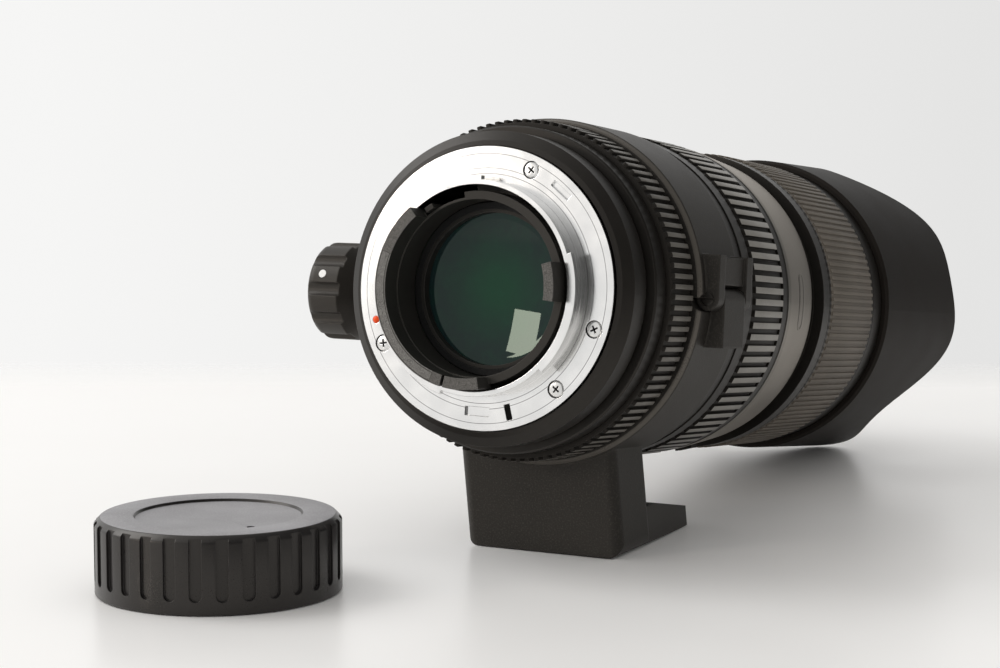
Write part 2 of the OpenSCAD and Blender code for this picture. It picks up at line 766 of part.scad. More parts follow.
// Upper half of the collar, with the outer knuckles and the tongue for the clamp stud
module collar_upper() {
    color([0.18, 0.18, 0.17]) posed() difference() {
        union() {
            difference() {
                collar_half([0, 180]);
                translate([-collar_r * 2, 0, 0]) mirror([0, 1, 0])
                    cube([collar_r * 4, split_gap / 2, collar_front + over]);
            }
            knuckle(hinge_rear, hinge_rear + outer_knuckle_w, 1, knuckle_block_h);
            knuckle(outer_rear, hinge_front, 1, knuckle_block_h);
            translate([collar_bore_r + knuckle_root, -bridge_top, hinge_rear + over])
                cube([hinge_x + bridge_out - collar_bore_r - knuckle_root, bridge_top - bridge_foot,
                    hinge_front - hinge_rear - 2 * over]);
            translate([-tongue_out, -tongue_h, collar_mid - clamp_w / 2])
                cube([tongue_t, 2 * tongue_h + stud_drop, clamp_w]);
            translate([-tongue_in - over, -tongue_h, collar_mid - clamp_w / 2])
                cube([tongue_in - collar_bore_r, tongue_h - split_gap / 2, clamp_w]);
        }
        translate([0, 0, collar_rear - over]) cylinder(r = collar_bore_r, h = collar_w + 2 * over);
        knuckle_room(middle_rear - side_gap, outer_rear);
        hinge_bore(run_gap);
        translate([-tongue_out - over, stud_drop, collar_mid]) rotate([0, 90, 0])
            cylinder(r = stud_r + run_gap, h = tongue_t + over - side_gap / 2);
    }
}

module hinge_pin() {
    color([0.7, 0.7, 0.7]) posed() translate([hinge_x, 0, hinge_rear])
        cylinder(r = pin_r, h = hinge_front - hinge_rear);
}

module tripod_bush() {
    color([0.75, 0.75, 0.74]) difference() {
        cylinder(r = bush_r, h = thread_depth + bush_end_t);
        translate([0, 0, -over]) cylinder(r = thread_r, h = thread_depth + over);
    }
}

// Fluted knob with a domed end
module clamp_knob() {
    flute_r = 2;
    flute_out = 0.6;
    knob_dome = 2.4;
    neck_r = knob_r - 5;
    neck_len = 2.5;
    shoulder_step = 1.2;
    shoulder_end = 6.9;
    color([0.23, 0.22, 0.21]) posed() translate([-knob_in, stud_drop, collar_mid]) rotate([0, -90, 0])
    difference() {
        rotate_extrude() polygon(concat(
            [[0, 0], [neck_r, 0], [neck_r, neck_len], [neck_r + shoulder_step, neck_len],
            [knob_r, shoulder_end]],
            [for (a = [0:15:90]) [knob_r - knob_dome * (1 - cos(a)), knob_len - knob_dome * (1 - sin(a))]],
            [[0, knob_len]]));
        for (i = [0:knob_flutes - 1]) rotate([0, 0, dot_clock + (i + 0.5) * 360 / knob_flutes])
            translate([knob_r + flute_out, 0, shoulder_end - 0.5]) cylinder(r = flute_r, h = knob_len);
        translate([0, 0, -over]) cylinder(r = stud_r + seat_gap, h = stud_grip + over);
        rotate([0, 0, dot_clock]) translate([knob_r - dot_sink, 0, knob_len - dot_inset]) rotate([0, 90, 0])
            cylinder(r = dot_r + seat_gap, h = 2);
    }
}

module clamp_stud() {
    color([0.7, 0.7, 0.68]) posed() translate([-tongue_in - stud_inset, stud_drop, collar_mid])
        rotate([0, -90, 0]) cylinder(r = stud_r, h = knob_in + stud_grip - tongue_in - stud_inset);
}

// Small white mark on the side of the knob
module knob_dot() {
    color([0.95, 0.95, 0.93]) posed() translate([-knob_in, stud_drop, collar_mid]) rotate([0, -90, 0])
        rotate([0, 0, dot_clock]) translate([knob_r - dot_sink, 0, knob_len - dot_inset]) rotate([0, 90, 0])
            cylinder(r = dot_r, h = dot_sink + 0.1);
}

// Chromed bayonet with flange, boss and three lugs
module bayonet_mount() {
    slot = [3.9, 1.6, 1.6];
    recess = [1.5, 5.8, 0.8];
    pocket = [2.2, 6.6, 0.8];
    pocket_in = 2.3;
    color([0.8, 0.8, 0.79]) posed() difference() {
        union() {
            ring(throat_r, boss_r, -boss_len, flange_t);
            ring(throat_r, flange_r, 0, flange_t);
            for (c = lug_clocks) arc(boss_r - over, lug_r, -boss_len, -boss_len + lug_t, c);
        }
        screw_holes();
        clock(bead_clock) translate([screw_circle_r, 0, -over])
            cylinder(r = bead_r + seat_gap, h = over + bead_depth);
        clock(lock_slot_clock) translate([screw_circle_r - 2.4, -slot[1] / 2, -over])
            cube([slot[0], slot[1], slot[2] + over]);
        clock(key_recess_clock) translate([screw_circle_r - recess[0] / 2, -recess[1] / 2, -over])
            cube([recess[0], recess[1], recess[2] + over]);
        clock(pocket_clock) translate([screw_circle_r - pocket_in, -pocket[1] / 2, -over])
            cube([pocket[0], pocket[1], pocket[2] + over]);
    }
}

module mount_screws() {
    cross_w = 0.55;
    cross_len = 2.4;
    cross_depth = 0.75;
    head_sink = 0.15;
    color([0.72, 0.72, 0.71]) posed() for (phi = screw_clocks) clock(phi) translate([screw_circle_r, 0, 0])
        difference() {
            union() {
                translate([0, 0, head_sink]) cylinder(r = screw_head_r, h = screw_head_t - head_sink);
                translate([0, 0, screw_head_t]) cylinder(r = screw_r, h = screw_len);
            }
            for (a = [0, 90]) rotate([0, 0, a + 20]) translate([-cross_len / 2, -cross_w / 2, -over])
                cube([cross_len, cross_w, over + cross_depth]);
        }
}

module index_bead() {
    color([0.9, 0.28, 0.12]) posed() clock(bead_clock) translate([screw_circle_r, 0, 0]) {
        glass(bead_r, 0, bead_depth, bead_rise, 0, bead_edge);
    }
}

// Black guard sleeve with its rear fins
module rear_guard() {
    tab_lap = 0.25;
    slit_w = 0.8;
    color([0.16, 0.16, 0.15]) posed() difference() {
        union() {
            rotate_extrude() polygon([
                [guard_r, -guard_reach], [guard_out_r, -guard_reach],
                [guard_out_r, flange_t + seat_gap], [guard_lip_r, flange_t + seat_gap],
                [guard_lip_r, shelf], [guard_r, shelf]]);
            arc(fin_r - fin_wall, fin_r, -fin_reach, -guard_reach + over, fin_clocks);
            arc(guard_r - tab_lap, guard_out_r + tab_lap, -fin_reach, -guard_reach + over, tab_clocks);
        }
        arc(lever_tip_r - 0.2, guard_lip_r + over, -fin_reach - over, shelf + over,
            [lever_window[0], lever_window[1] - 0.5]);
        clock(fin_slit_clock) translate([guard_r - over, -slit_w / 2, -fin_reach - over])
            cube([fin_r - guard_r + 2 * over, slit_w, fin_reach - guard_reach + 0.6]);
        arc(fin_r - block_t - seat_gap, fin_r + over, block_rear - seat_gap, block_front + seat_gap,
            [contact_clocks[0] - 0.1, contact_clocks[1] + 0.1]);
    }
}

// Moulded block in the guard's main fin that carries the contacts
module contact_block() {
    color([0.12, 0.12, 0.12]) posed() difference() {
        arc(fin_r - block_t, fin_r, block_rear, block_front, contact_clocks);
        for (i = [1:contact_count]) contact_pin(i, seat_gap, over);
    }
}

// One contact pin in the outer face of the contact block
module contact_pin(i, gap, extra) {
    span = contact_clocks[1] - contact_clocks[0];
    radial_pin(contact_clocks[0] + span * i / (contact_count + 1), contact_r + gap,
        fin_r - block_t + 0.2, fin_r + contact_rise + extra, (block_rear + block_front) / 2);
}

module contact_pins() {
    color([0.83, 0.68, 0.35]) posed() for (i = [1:contact_count]) contact_pin(i, 0, 0);
}

// Black rear shell with the lip, the shelf for the mount and the aperture ring's journal
module rear_barrel() {
    rim_z = 1;
    bevel_end = 3;
    edge = 0.4;
    color([0.13, 0.13, 0.12]) posed() {
        difference() {
            rotate_extrude() polygon([
                [flange_r + side_gap, rim_z], [flange_r + lip_rise * 0.4, rim_z + edge], [lip_r, bevel_end],
                [lip_r, lip_end], [lip_r - groove_d, lip_end], [lip_r - groove_d, groove_end],
                [shoulder_r - edge, groove_end], [shoulder_r, groove_end + edge], [shoulder_r, aperture_rear],
                [aperture_journal_r, aperture_rear], [aperture_journal_r, aperture_front],
                [rear_bore_r, aperture_front], [rear_bore_r, shelf_end],
                [shelf_r, shelf_end], [shelf_r, shelf], [screw_ring_r, shelf], [screw_ring_r, flange_t],
                [flange_r + side_gap, flange_t]]);
            screw_holes();
            arc(guard_r, screw_ring_r + over, flange_t - over, shelf_end + over, lever_window);
        }
        arc(rear_bore_r - 2, rear_bore_r + edge, board_ledge, board_ledge + board_ledge_t, board_clocks);
    }
}

// C-shaped board on the ledge inside the rear barrel
module circuit_board() {
    color([0.1, 0.3, 0.16]) posed()
        arc(rear_cell_r + board_gap, rear_bore_r - seat_gap, board_ledge + board_ledge_t,
            board_ledge + board_ledge_t + board_t, board_clocks);
}

module aperture_ring() {
    edge = 0.2;
    ring_rear = aperture_rear + side_gap;
    ring_front = ring_rear + aperture_w;
    color([0.15, 0.15, 0.14]) posed() union() {
        ribbed_sleeve(aperture_bore_r, aperture_r - rib_depth, aperture_r,
            ring_rear + edge, ring_front - edge, aperture_ribs, 0.5);
        ring(aperture_bore_r, aperture_r - rib_depth, ring_rear, ring_front);
    }
}

// Fixed tube that carries the collar and the zoom ring
module main_tube() {
    spigot_r = rear_bore_r - seat_gap;
    spigot_bore_r = spigot_r - spigot_wall;
    spigot_rear = aperture_front - rear_spigot_len;
    color([0.17, 0.17, 0.17]) posed() difference() {
        rotate_extrude() polygon([
            [spigot_bore_r, spigot_rear], [spigot_r, spigot_rear], [spigot_r, aperture_front],
            [back_stop_r, aperture_front], [back_stop_r, back_stop_end], [tube_r, back_stop_end],
            [tube_r, front_stop], [front_stop_r, front_stop], [front_stop_r, front_stop_end],
            [tube_r, front_stop_end], [tube_r, band_front], [tube_bore_r, band_front], [tube_bore_r, iris_rear],
            [step_bore_r, iris_rear], [step_bore_r, aperture_front + step_t],
            [spigot_bore_r, aperture_front + step_t]]);
        key_slot();
    }
}

// Slot around the main tube in which the zoom key travels
module key_slot() {
    margin = asin((zoom_key_r + side_gap) / tube_bore_r) + 0.5;
    half = zoom_key_r + side_gap;
    arc(tube_bore_r - over, tube_r + over, zoom_key_z - half, zoom_key_z + half,
        [key_clock - zoom_turn - margin, key_clock + margin]);
}

// Fixed tube around the rear glass
module rear_cell() {
    flange_out = blade_pivot_r - 0.2;
    bore_r = rear_glass_r + seat_gap;
    seat_r = rear_glass_r - glass_seat;
    cell_rear = rear_glass_z - rear_ring_lap - 0.2;
    cell_flange = iris_rear - cell_flange_t;
    relay_seat = iris_rear - relay_depth;
    color([0.1, 0.1, 0.1]) posed() rotate_extrude() polygon([
        [bore_r, cell_rear], [rear_cell_r, cell_rear], [rear_cell_r, cell_flange], [flange_out, cell_flange],
        [flange_out, iris_rear], [bore_r, iris_rear], [bore_r, relay_seat], [seat_r, relay_seat],
        [seat_r, rear_seat_z + rear_glass_t], [bore_r, rear_seat_z + rear_glass_t]]);
}

module rear_element() {
    color([0.35, 0.55, 0.55, 0.6]) posed()
        glass(rear_glass_r, rear_seat_z, rear_seat_z + rear_glass_t, -1.6, 0, glass_land);
}

module rear_retaining_ring() {
    color([0.09, 0.09, 0.09]) posed()
        ring(rear_glass_r - rear_ring_lap, rear_glass_r, rear_seat_z - rear_ring_t, rear_seat_z);
}

module relay_element() {
    color([0.45, 0.6, 0.62, 0.6]) posed()
        glass(rear_glass_r, iris_rear - relay_depth, iris_rear - relay_depth + relay_t, 2, 0.8, glass_land);
}

// Fixed housing of the iris, with a hole for each blade's pivot and a slot for the lever
module iris_housing() {
    plate_r = iris_r + plate_gap;
    cover_lap = 2;
    cover_rear = drive_rear + drive_t + side_gap;
    color([0.2, 0.2, 0.2]) posed() difference() {
        rotate_extrude() polygon([
            [plate_r, iris_rear], [tube_bore_r - seat_gap, iris_rear], [tube_bore_r - seat_gap, iris_front],
            [iris_wall_r - cover_lap, iris_front], [iris_wall_r - cover_lap, cover_rear],
            [iris_wall_r, cover_rear], [iris_wall_r, iris_rear + iris_plate_t],
            [plate_r, iris_rear + iris_plate_t]]);
        for (i = [1:blade_count]) blade_place(i) translate([0, 0, iris_rear - over])
            cylinder(r = blade_pin_r + run_gap, h = iris_plate_t + 2 * over);
        arc(lever_rod_r - lever_slot, lever_rod_r + lever_slot, iris_rear - over,
            iris_rear + iris_plate_t + over, lever_window);
    }
}

// Origin on a blade's pivot, +X pointing away from the axis
module blade_place(i) {
    clock(first_blade_clock + i * 360 / blade_count) translate([blade_pivot_r, 0, 0]) children();
}

// Crescent blade on its own layer, with the ear and pin of its pivot
module iris_blade(i) {
    z = first_blade_z + (i - 1) * blade_pitch;
    color([0.25, 0.25, 0.26]) posed() blade_place(i) union() {
        translate([0, 0, iris_rear]) cylinder(r = blade_pin_r, h = z + blade_t - iris_rear);
        translate([0, 0, z]) cylinder(r = blade_ear_r, h = blade_t);
        translate([-blade_pivot_r, 0, z]) rotate_extrude(angle = blade_reach)
            translate([iris_r, 0]) square([blade_w, blade_t]);
        translate([iris_r + blade_w / 2 - blade_pivot_r, 0, z])
            cube([blade_pivot_r - iris_r - blade_w / 2, blade_arm_w, blade_t]);
    }
}

module iris_drive_ring() {
    color([0.6, 0.6, 0.58]) posed()
        ring(lever_rod_r - 1, iris_wall_r - run_gap, drive_rear, drive_rear + drive_t);
}

// Lever from the iris drive ring back into the mount
module aperture_lever() {
    tip_rise = 1.5;
    tip_end = guard_reach + tip_rise;
    width = 2 * lever_half_w;
    color([0.75, 0.75, 0.73]) posed() clock(lever_clock) {
        translate([lever_rod_r - lever_rod_t / 2, -lever_half_w, lever_arm_z])
            cube([lever_rod_t, width, drive_rear - lever_arm_z]);
        translate([lever_tip_r, -lever_half_w, lever_arm_z])
            cube([lever_rod_r - lever_tip_r + lever_rod_t / 4, width, lever_arm_t]);
        translate([lever_tip_r, -lever_half_w, -tip_end])
            cube([lever_tip_t, width, lever_arm_z + tip_end + 0.5]);
    }
}

// Fixed tube with the straight slots that keep the zoom groups from turning
module guide_tube() {
    color([0.55, 0.55, 0.54]) posed() difference() {
        rotate_extrude() polygon([
            [guide_bore_r, iris_front], [tube_bore_r - seat_gap, iris_front],
            [tube_bore_r - seat_gap, iris_front + guide_flange_t], [guide_r, iris_front + guide_flange_t],
            [guide_r, cam_front + side_gap], [guide_bore_r, cam_front + side_gap]]);
        for (phi = guide_clocks) {
            straight_slot(phi, straight_slot_r, guide_bore_r - over, guide_r + over,
                variator_pin - variator_travel - side_gap, variator_pin + side_gap);
            straight_slot(phi, straight_slot_r, guide_bore_r - over, guide_r + over,
                compensator_pin - side_gap, compensator_pin + compensator_travel + side_gap);
        }
    }
}

// Turning tube with the helical slots that move the zoom groups
module cam_tube() {
    color([0.62, 0.6, 0.55]) posed() difference() {
        ring(cam_bore_r, cam_r, cam_rear, cam_front);
        for (phi = guide_clocks) {
            helical_slot(phi, helical_slot_r, cam_bore_r - over, cam_r + over,
                variator_pin, variator_pin - variator_travel, zoom_turn);
            helical_slot(phi, helical_slot_r, cam_bore_r - over, cam_r + over,
                compensator_pin, compensator_pin + compensator_travel, zoom_turn);
        }
        radial_pin(key_clock, zoom_key_r + seat_gap, cam_bore_r - over, cam_r + over, zoom_key_z);
    }
}

module zoom_key() {
    color([0.7, 0.7, 0.7]) posed()
        radial_pin(key_clock, zoom_key_r, cam_bore_r + 0.1, zoom_r - pin_end_gap, zoom_key_z);
}

module zoom_ring() {
    color([0.14, 0.14, 0.13]) posed() difference() {
        union() {
            ring(zoom_bore_r, zoom_r, zoom_rear, zoom_front);
            ring(zoom_bore_r, zoom_r + ring_edge_rise, zoom_rear, grip_rear - grip_margin);
            ring(zoom_bore_r, zoom_r + ring_edge_rise, grip_rear + zoom_grip_w + grip_margin, zoom_front);
        }
        radial_pin(key_clock, zoom_key_r + seat_gap, tube_r - over, zoom_r - pin_end_gap + seat_gap,
            zoom_key_z);
    }
}

// Rubber grip with raised block ribs
module zoom_grip() {
    color([0.2, 0.2, 0.2]) posed()
        ribbed_sleeve(zoom_r + seat_gap, zoom_grip_r - rib_depth, zoom_grip_r,
            grip_rear, grip_rear + zoom_grip_w, zoom_ribs, 0.55);
}

// A sliding cell that holds one element of a zoom or focus group
module group_cell(r, rear, pin_z, clocks) {
    difference() {
        rotate_extrude() polygon([
            [group_glass_r - glass_seat, rear], [r, rear], [r, rear + group_len],
            [group_glass_r + seat_gap, rear + group_len], [group_glass_r + seat_gap, rear + group_seat],
            [group_glass_r - glass_seat, rear + group_seat]]);
        for (phi = clocks) radial_pin(phi, guide_pin_r + seat_gap, r - pin_depth, r + over, pin_z);
    }
}

// The element on the seat of such a cell
module group_glass(rear, t, rear_sag, front_sag) {
    glass(group_glass_r, rear + group_seat, rear + group_seat + t, rear_sag, front_sag, glass_land);
}

module variator_cell() {
    color([0.12, 0.12, 0.12]) posed() group_cell(group_r, variator_rear, variator_pin, guide_clocks);
}

module variator_element() {
    color([0.45, 0.6, 0.65, 0.6]) posed()
        group_glass(variator_rear, variator_glass_t, -2, -2);
}

module variator_pins() {
    color([0.75, 0.72, 0.6]) posed() for (phi = guide_clocks)
        radial_pin(phi, guide_pin_r, group_r - pin_depth, cam_r - pin_end_gap, variator_pin);
}

module compensator_cell() {
    color([0.12, 0.12, 0.12]) posed() group_cell(group_r, compensator_rear, compensator_pin, guide_clocks);
}

module compensator_element() {
    color([0.45, 0.6, 0.65, 0.6]) posed()
        group_glass(compensator_rear, group_glass_t, 2, 3);
}

module compensator_pins() {
    color([0.75, 0.72, 0.6]) posed() for (phi = guide_clocks)
        radial_pin(phi, guide_pin_r, group_r - pin_depth, cam_r - pin_end_gap, compensator_pin);
}

// Satin band with the openings for the distance window and the mode switch
module scale_band() {
    straight = 2;
    opening_w = switch_w + 2 * side_gap;
    color([0.5, 0.49, 0.47]) posed() difference() {
        rotate_extrude() polygon([
            [tube_r + seat_gap, band_rear], [band_rear_r, band_rear], [band_rear_r, band_rear + straight],
            [band_front_r, band_front], [tube_r + seat_gap, band_front]]);
        window_shape(seat_gap, over);
        clock(switch_clock) translate([tube_r - over, -opening_w / 2, switch_rear - side_gap])
            cube([band_rear_r - tube_r + 3 * over, opening_w, switch_len + switch_travel + 2 * side_gap]);
    }
}

// The pane's outline, also the opening that it fits
module window_shape(gap, extra) {
    arc(tube_r + seat_gap, band_front_r - window_sink + extra * 3, window_rear - gap,
        window_rear + window_len + gap, [window_clock - window_half - gap, window_clock + window_half + gap]);
}

module distance_window() {
    color([0.6, 0.65, 0.65, 0.5]) posed() window_shape(0, 0);
}

// Slider that chooses automatic or manual focus
module mode_switch() {
    cut_w = 0.4;
    color([0.3, 0.3, 0.3]) posed() clock(switch_clock) difference() {
        translate([tube_r + side_gap, -switch_w / 2, switch_rear])
            cube([band_rear_r - tube_r, switch_w, switch_len]);
        for (i = [1, 2, 3]) translate([band_rear_r, -switch_w, switch_rear + i * switch_len / 4 - cut_w / 2])
            cube([over, 2 * switch_w, cut_w]);
    }
}

// Front shell with the focus ring's journal and the slots for the focus pins
module front_barrel() {
    spigot_r = tube_bore_r - seat_gap;
    color([0.14, 0.14, 0.13]) posed() difference() {
        rotate_extrude() polygon([
            [spigot_r - spigot_t, band_front - spigot_len], [spigot_r, band_front - spigot_len],
            [spigot_r, band_front], [recess_r, band_front], [recess_r, recess_front],
            [bead_ring_r, recess_front], [bead_ring_r, bead_ring_front],
            [focus_journal_r, bead_ring_front], [focus_journal_r, nose_rear],
            [nose_r, nose_rear], [nose_r, nose_front], [filter_r + filter_spigot_wall, nose_front],
            [filter_r + filter_spigot_wall, nose_front - filter_spigot],
            [front_bore_r, nose_front - filter_spigot],
            [front_bore_r, motor_rear], [spigot_r - spigot_t, motor_rear]]);
        for (phi = focus_clocks) straight_slot(phi, straight_slot_r, front_bore_r - over, bead_ring_r + over,
            focus_pin - side_gap, focus_pin + focus_travel + side_gap);
    }
}

// Ring motor behind the focus group
module focus_motor() {
    color([0.6, 0.5, 0.3]) posed()
        ring(front_bore_r - motor_wall, front_bore_r - seat_gap, motor_rear, motor_rear + motor_len);
}

// Focus ring with the helical slots that move the focus group
module focus_ring() {
    edge_rise = 0.6;
    color([0.14, 0.14, 0.13]) posed() difference() {
        union() {
            ring(focus_bore_r, focus_r, focus_rear, focus_front);
            ring(focus_bore_r, focus_r + edge_rise, focus_rear, focus_rear + focus_edge - 0.1);
            ring(focus_bore_r, focus_r + edge_rise, focus_front - focus_edge + 0.1, focus_front);
        }
        for (phi = focus_clocks) helical_slot(phi, helical_slot_r, focus_journal_r - over, focus_r + over,
            focus_pin, focus_pin + focus_travel, focus_turn);
    }
}

// Rubber grip with fine ribs
module focus_grip() {
    color([0.3, 0.28, 0.26]) posed()
        ribbed_sleeve(focus_r + seat_gap, focus_grip_r - fine_rib_depth, focus_grip_r,
            focus_rear + focus_edge, focus_front - focus_edge, focus_ribs, 0.5);
}

module focus_cell() {
    color([0.12, 0.12, 0.12]) posed() group_cell(focus_cell_r, focus_cell_rear, focus_pin, focus_clocks);
}

module focus_element() {
    color([0.45, 0.6, 0.65, 0.6]) posed()
        group_glass(focus_cell_rear, group_glass_t, 2.5, 2.5);
}

module focus_pins() {
    color([0.75, 0.72, 0.6]) posed() for (phi = focus_clocks)
        radial_pin(phi, guide_pin_r, focus_cell_r - pin_depth, focus_r - pin_end_gap, focus_pin);
}

// Fixed cell of the front group
module front_cell() {
    color([0.1, 0.1, 0.1]) posed() rotate_extrude() polygon([
        [second_glass_r + seat_gap, front_cell_rear], [front_bore_r - seat_gap, front_cell_rear],
        [front_bore_r - seat_gap, front_cell_front], [front_glass_r + seat_gap, front_cell_front],
        [front_glass_r + seat_gap, front_z], [second_glass_r - seat_step, front_z],
        [second_glass_r - seat_step, second_z], [second_glass_r + seat_gap, second_z]]);
}

module second_element() {
    color([0.45, 0.6, 0.62, 0.6]) posed()
        glass(second_glass_r, second_z - second_glass_t, second_z, -2, -1.5, glass_land);
}

module front_element() {
    color([0.4, 0.55, 0.6, 0.6]) posed()
        glass(front_glass_r, front_z, front_z + front_glass_t, 0.8, front_sag, front_land);
}

// Ring with the filter thread and the groove for the hood's bayonet
module filter_ring() {
    spigot_r = filter_r + filter_spigot_wall - seat_gap;
    color([0.13, 0.13, 0.12]) posed() rotate_extrude() polygon([
        [filter_r, nose_front - filter_spigot], [spigot_r, nose_front - filter_spigot], [spigot_r, nose_front],
        [nose_r, nose_front], [nose_r, hood_groove], [hood_groove_r, hood_groove],
        [hood_groove_r, hood_groove + hood_groove_w], [nose_r, hood_groove + hood_groove_w],
        [nose_r, filter_front], [filter_r, filter_front]]);
}

// Petal hood with the bayonet lugs that hold it on the nose
module hood() {
    fit_r = nose_r + 0.1;
    edge_step = 4;
    rear_edge = 0.8;
    side = hood_tip_r + 2 * over;
    color([0.17, 0.16, 0.16]) posed() {
        intersection() {
            rotate_extrude() polygon([
                [fit_r, hood_rear], [hood_rear_r - rear_edge, hood_rear], [hood_rear_r, hood_rear + rear_edge],
                [hood_tip_r, hood_tip], [hood_tip_r - hood_wall, hood_tip],
                [hood_r_at(filter_front) - hood_wall, filter_front], [fit_r, filter_front]]);
            clock(petal_clock) rotate([90, 0, 0]) linear_extrude(height = 3 * hood_tip_r, center = true)
                polygon(concat([[side, hood_rear - over], [side, petal_edge(0)]],
                    [for (a = [0:edge_step:180]) [hood_r_at(petal_edge(a)) * cos(a), petal_edge(a)]],
                    [[-side, petal_edge(0)], [-side, hood_rear - over]]));
        }
        for (phi = [petal_clock, petal_clock + 180]) arc(hood_groove_r + side_gap, fit_r + rear_edge,
            hood_groove + side_gap, hood_groove + hood_groove_w - side_gap,
            [phi - hood_lug_half, phi + hood_lug_half]);
    }
}

// Rear cap lying on the table, open side down
module rear_cap() {
    groove_r = 1.45;
    groove_foot = 3;
    chamfer = 1.5;
    recess_depth = 0.8;
    mark_r = 1;
    mark_depth = 0.6;
    mark_inset = 3.5;
    mark_turn = -28;
    floor_z = cap_h - recess_depth;
    inner_r = cap_r - cap_wall;
    color([0.12, 0.12, 0.12]) translate([-cap_left, -cap_back, 0]) difference() {
        rotate_extrude() polygon([
            [inner_r, 0], [cap_r, 0], [cap_r, cap_h - chamfer], [cap_r - chamfer, cap_h], [cap_recess_r, cap_h],
            [cap_recess_r, floor_z], [0, floor_z], [0, floor_z - cap_end_t], [inner_r, floor_z - cap_end_t]]);
        for (i = [0:cap_grooves - 1]) rotate([0, 0, i * 360 / cap_grooves])
            translate([cap_r + groove_r * 0.45, 0, groove_foot]) cylinder(r = groove_r, h = cap_h);
        rotate(mark_turn) translate([cap_recess_r - mark_inset, 0, floor_z - mark_depth])
            cylinder(r = mark_r, h = mark_depth + over);
    }
}

collar_base();
collar_upper();
hinge_pin();
tripod_bush();
clamp_knob();
clamp_stud();
knob_dot();
bayonet_mount();
mount_screws();
index_bead();
rear_guard();
contact_block();
contact_pins();
rear_barrel();
circuit_board();
aperture_ring();
main_tube();
rear_cell();
rear_element();
rear_retaining_ring();
relay_element();
iris_housing();
iris_drive_ring();
aperture_lever();
guide_tube();
cam_tube();
zoom_key();
zoom_ring();
zoom_grip();
variator_cell();
variator_element();
variator_pins();
compensator_cell();
compensator_element();
compensator_pins();
scale_band();
distance_window();
mode_switch();
front_barrel();
focus_motor();
focus_ring();
focus_grip();
focus_cell();
focus_element();
focus_pins();
front_cell();
second_element();
front_element();
filter_ring();
hood();
rear_cap();
for (i = [1:blade_count]) iris_blade(i);
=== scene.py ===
"""Looks of a camera zoom lens that stands on its tripod foot, with its rear cap beside it.

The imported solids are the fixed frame. Grips, screws, cap and small trim are modelled here at the solids' own
sizes, and every surface gets a procedural finish. Lengths are in millimetres, and in metres in the studio.
"""

import logging
import math
from contextlib import contextmanager
from dataclasses import dataclass
from enum import Enum
from functools import cache
from typing import Callable, Iterable, Iterator, Sequence, Union

import bpy
from mathutils import Matrix, Vector


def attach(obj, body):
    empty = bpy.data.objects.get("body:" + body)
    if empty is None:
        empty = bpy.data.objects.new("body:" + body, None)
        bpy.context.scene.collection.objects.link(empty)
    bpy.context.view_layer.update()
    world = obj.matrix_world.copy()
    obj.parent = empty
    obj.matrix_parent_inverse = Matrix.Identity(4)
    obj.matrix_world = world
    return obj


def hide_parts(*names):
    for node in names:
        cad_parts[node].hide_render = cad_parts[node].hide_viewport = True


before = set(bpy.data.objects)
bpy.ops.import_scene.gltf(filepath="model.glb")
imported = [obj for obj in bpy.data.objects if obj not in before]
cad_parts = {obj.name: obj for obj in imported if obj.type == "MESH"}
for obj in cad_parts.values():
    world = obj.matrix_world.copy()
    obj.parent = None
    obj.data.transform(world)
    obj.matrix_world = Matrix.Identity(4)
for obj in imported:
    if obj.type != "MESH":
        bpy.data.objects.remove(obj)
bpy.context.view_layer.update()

log = logging.getLogger("zoom_lens")
MM = 0.001
Piece = bpy.types.Object
Material = bpy.types.Material
Socket = bpy.types.NodeSocket
Value = Union[float, Sequence[float], Socket]
Colour = tuple[float, float, float]
Point = tuple[float, float, float]
Station = tuple[float, float]
Ramp = tuple[float, float, float, float]
Test = Callable[[Vector, Vector], bool]

# The optical axis: its foot on the bayonet seat, and the dip of the nose
SEAT = (0.0, -65.4 * MM, 69.572 * MM)
NOSE_DOWN = 5.6
LENS_TURN = (math.radians(-90.0 - NOSE_DOWN), 0.0, 0.0)
LENS = Matrix.Translation(SEAT) @ Matrix.Rotation(LENS_TURN[0], 4, "X")

# How far a direction agrees with an axis when it counts as facing it
FACING = 0.9

# In metres: vertices that count as one, and places that count as off the axis or off a bar's middle
DOUBLED, OFF_AXIS, OFF_MIDDLE = 1e-6, 1e-7, 1e-5

# Ramps: the part of a value's range that counts, and the results at its two ends
EVEN: Ramp = (0.35, 0.65, 0.0, 1.0)
WIDE: Ramp = (0.3, 0.7, 0.0, 1.0)
SCUFFED: Ramp = (0.35, 0.65, 0.35, 1.0)
EDGE_TURN: Ramp = (0.995, 0.90, 0.0, 1.0)

# What breaks up a moulded finish: sizes of its noises, their shares, and gains on its colour and roughness
CLOUD_MM, SCUFF_MM, SLOW_DETAIL = 14.0, 2.5, 3.0
CLOUD_SHARE = 0.6
MOTTLE_GAINS = (0.82, 1.18)
SPECK_RANGE, SPECK_GAIN = (0.52, 0.72), 3.0
GRAIN_ROUGH, CLOUD_ROUGH, COAT_ROUGH = 0.12, 0.10, 0.12
WARM_SHEEN = (1.0, 0.94, 0.87, 1.0)


class Slot(Enum):
    """Material slot names for the new pieces."""

    STEEL = "bare_steel"
    GUARD = "guard_plastic"
    BAND = "satin_band"
    GRIP = "grip_rubber"
    CAP = "cap_plastic"
    GLASS = "coated_glass"


class Body(Enum):
    """Moving bodies that new pieces ride on."""

    BARREL = "barrel"
    APERTURE = "aperture_ring"
    ZOOM = "zoom"
    FOCUS = "focus_ring"
    COLLAR = "collar"
    CAP = "rear_cap"


def scaled(colour: Colour, gain: float) -> Colour:
    """Returns a colour times a factor."""
    return tuple(gain * channel for channel in colour)


def clock(degrees: float) -> Matrix:
    """Returns a turn from the right to a clock angle, counter-clockwise seen from behind."""
    return Matrix.Rotation(math.radians(-degrees), 4, "Z")


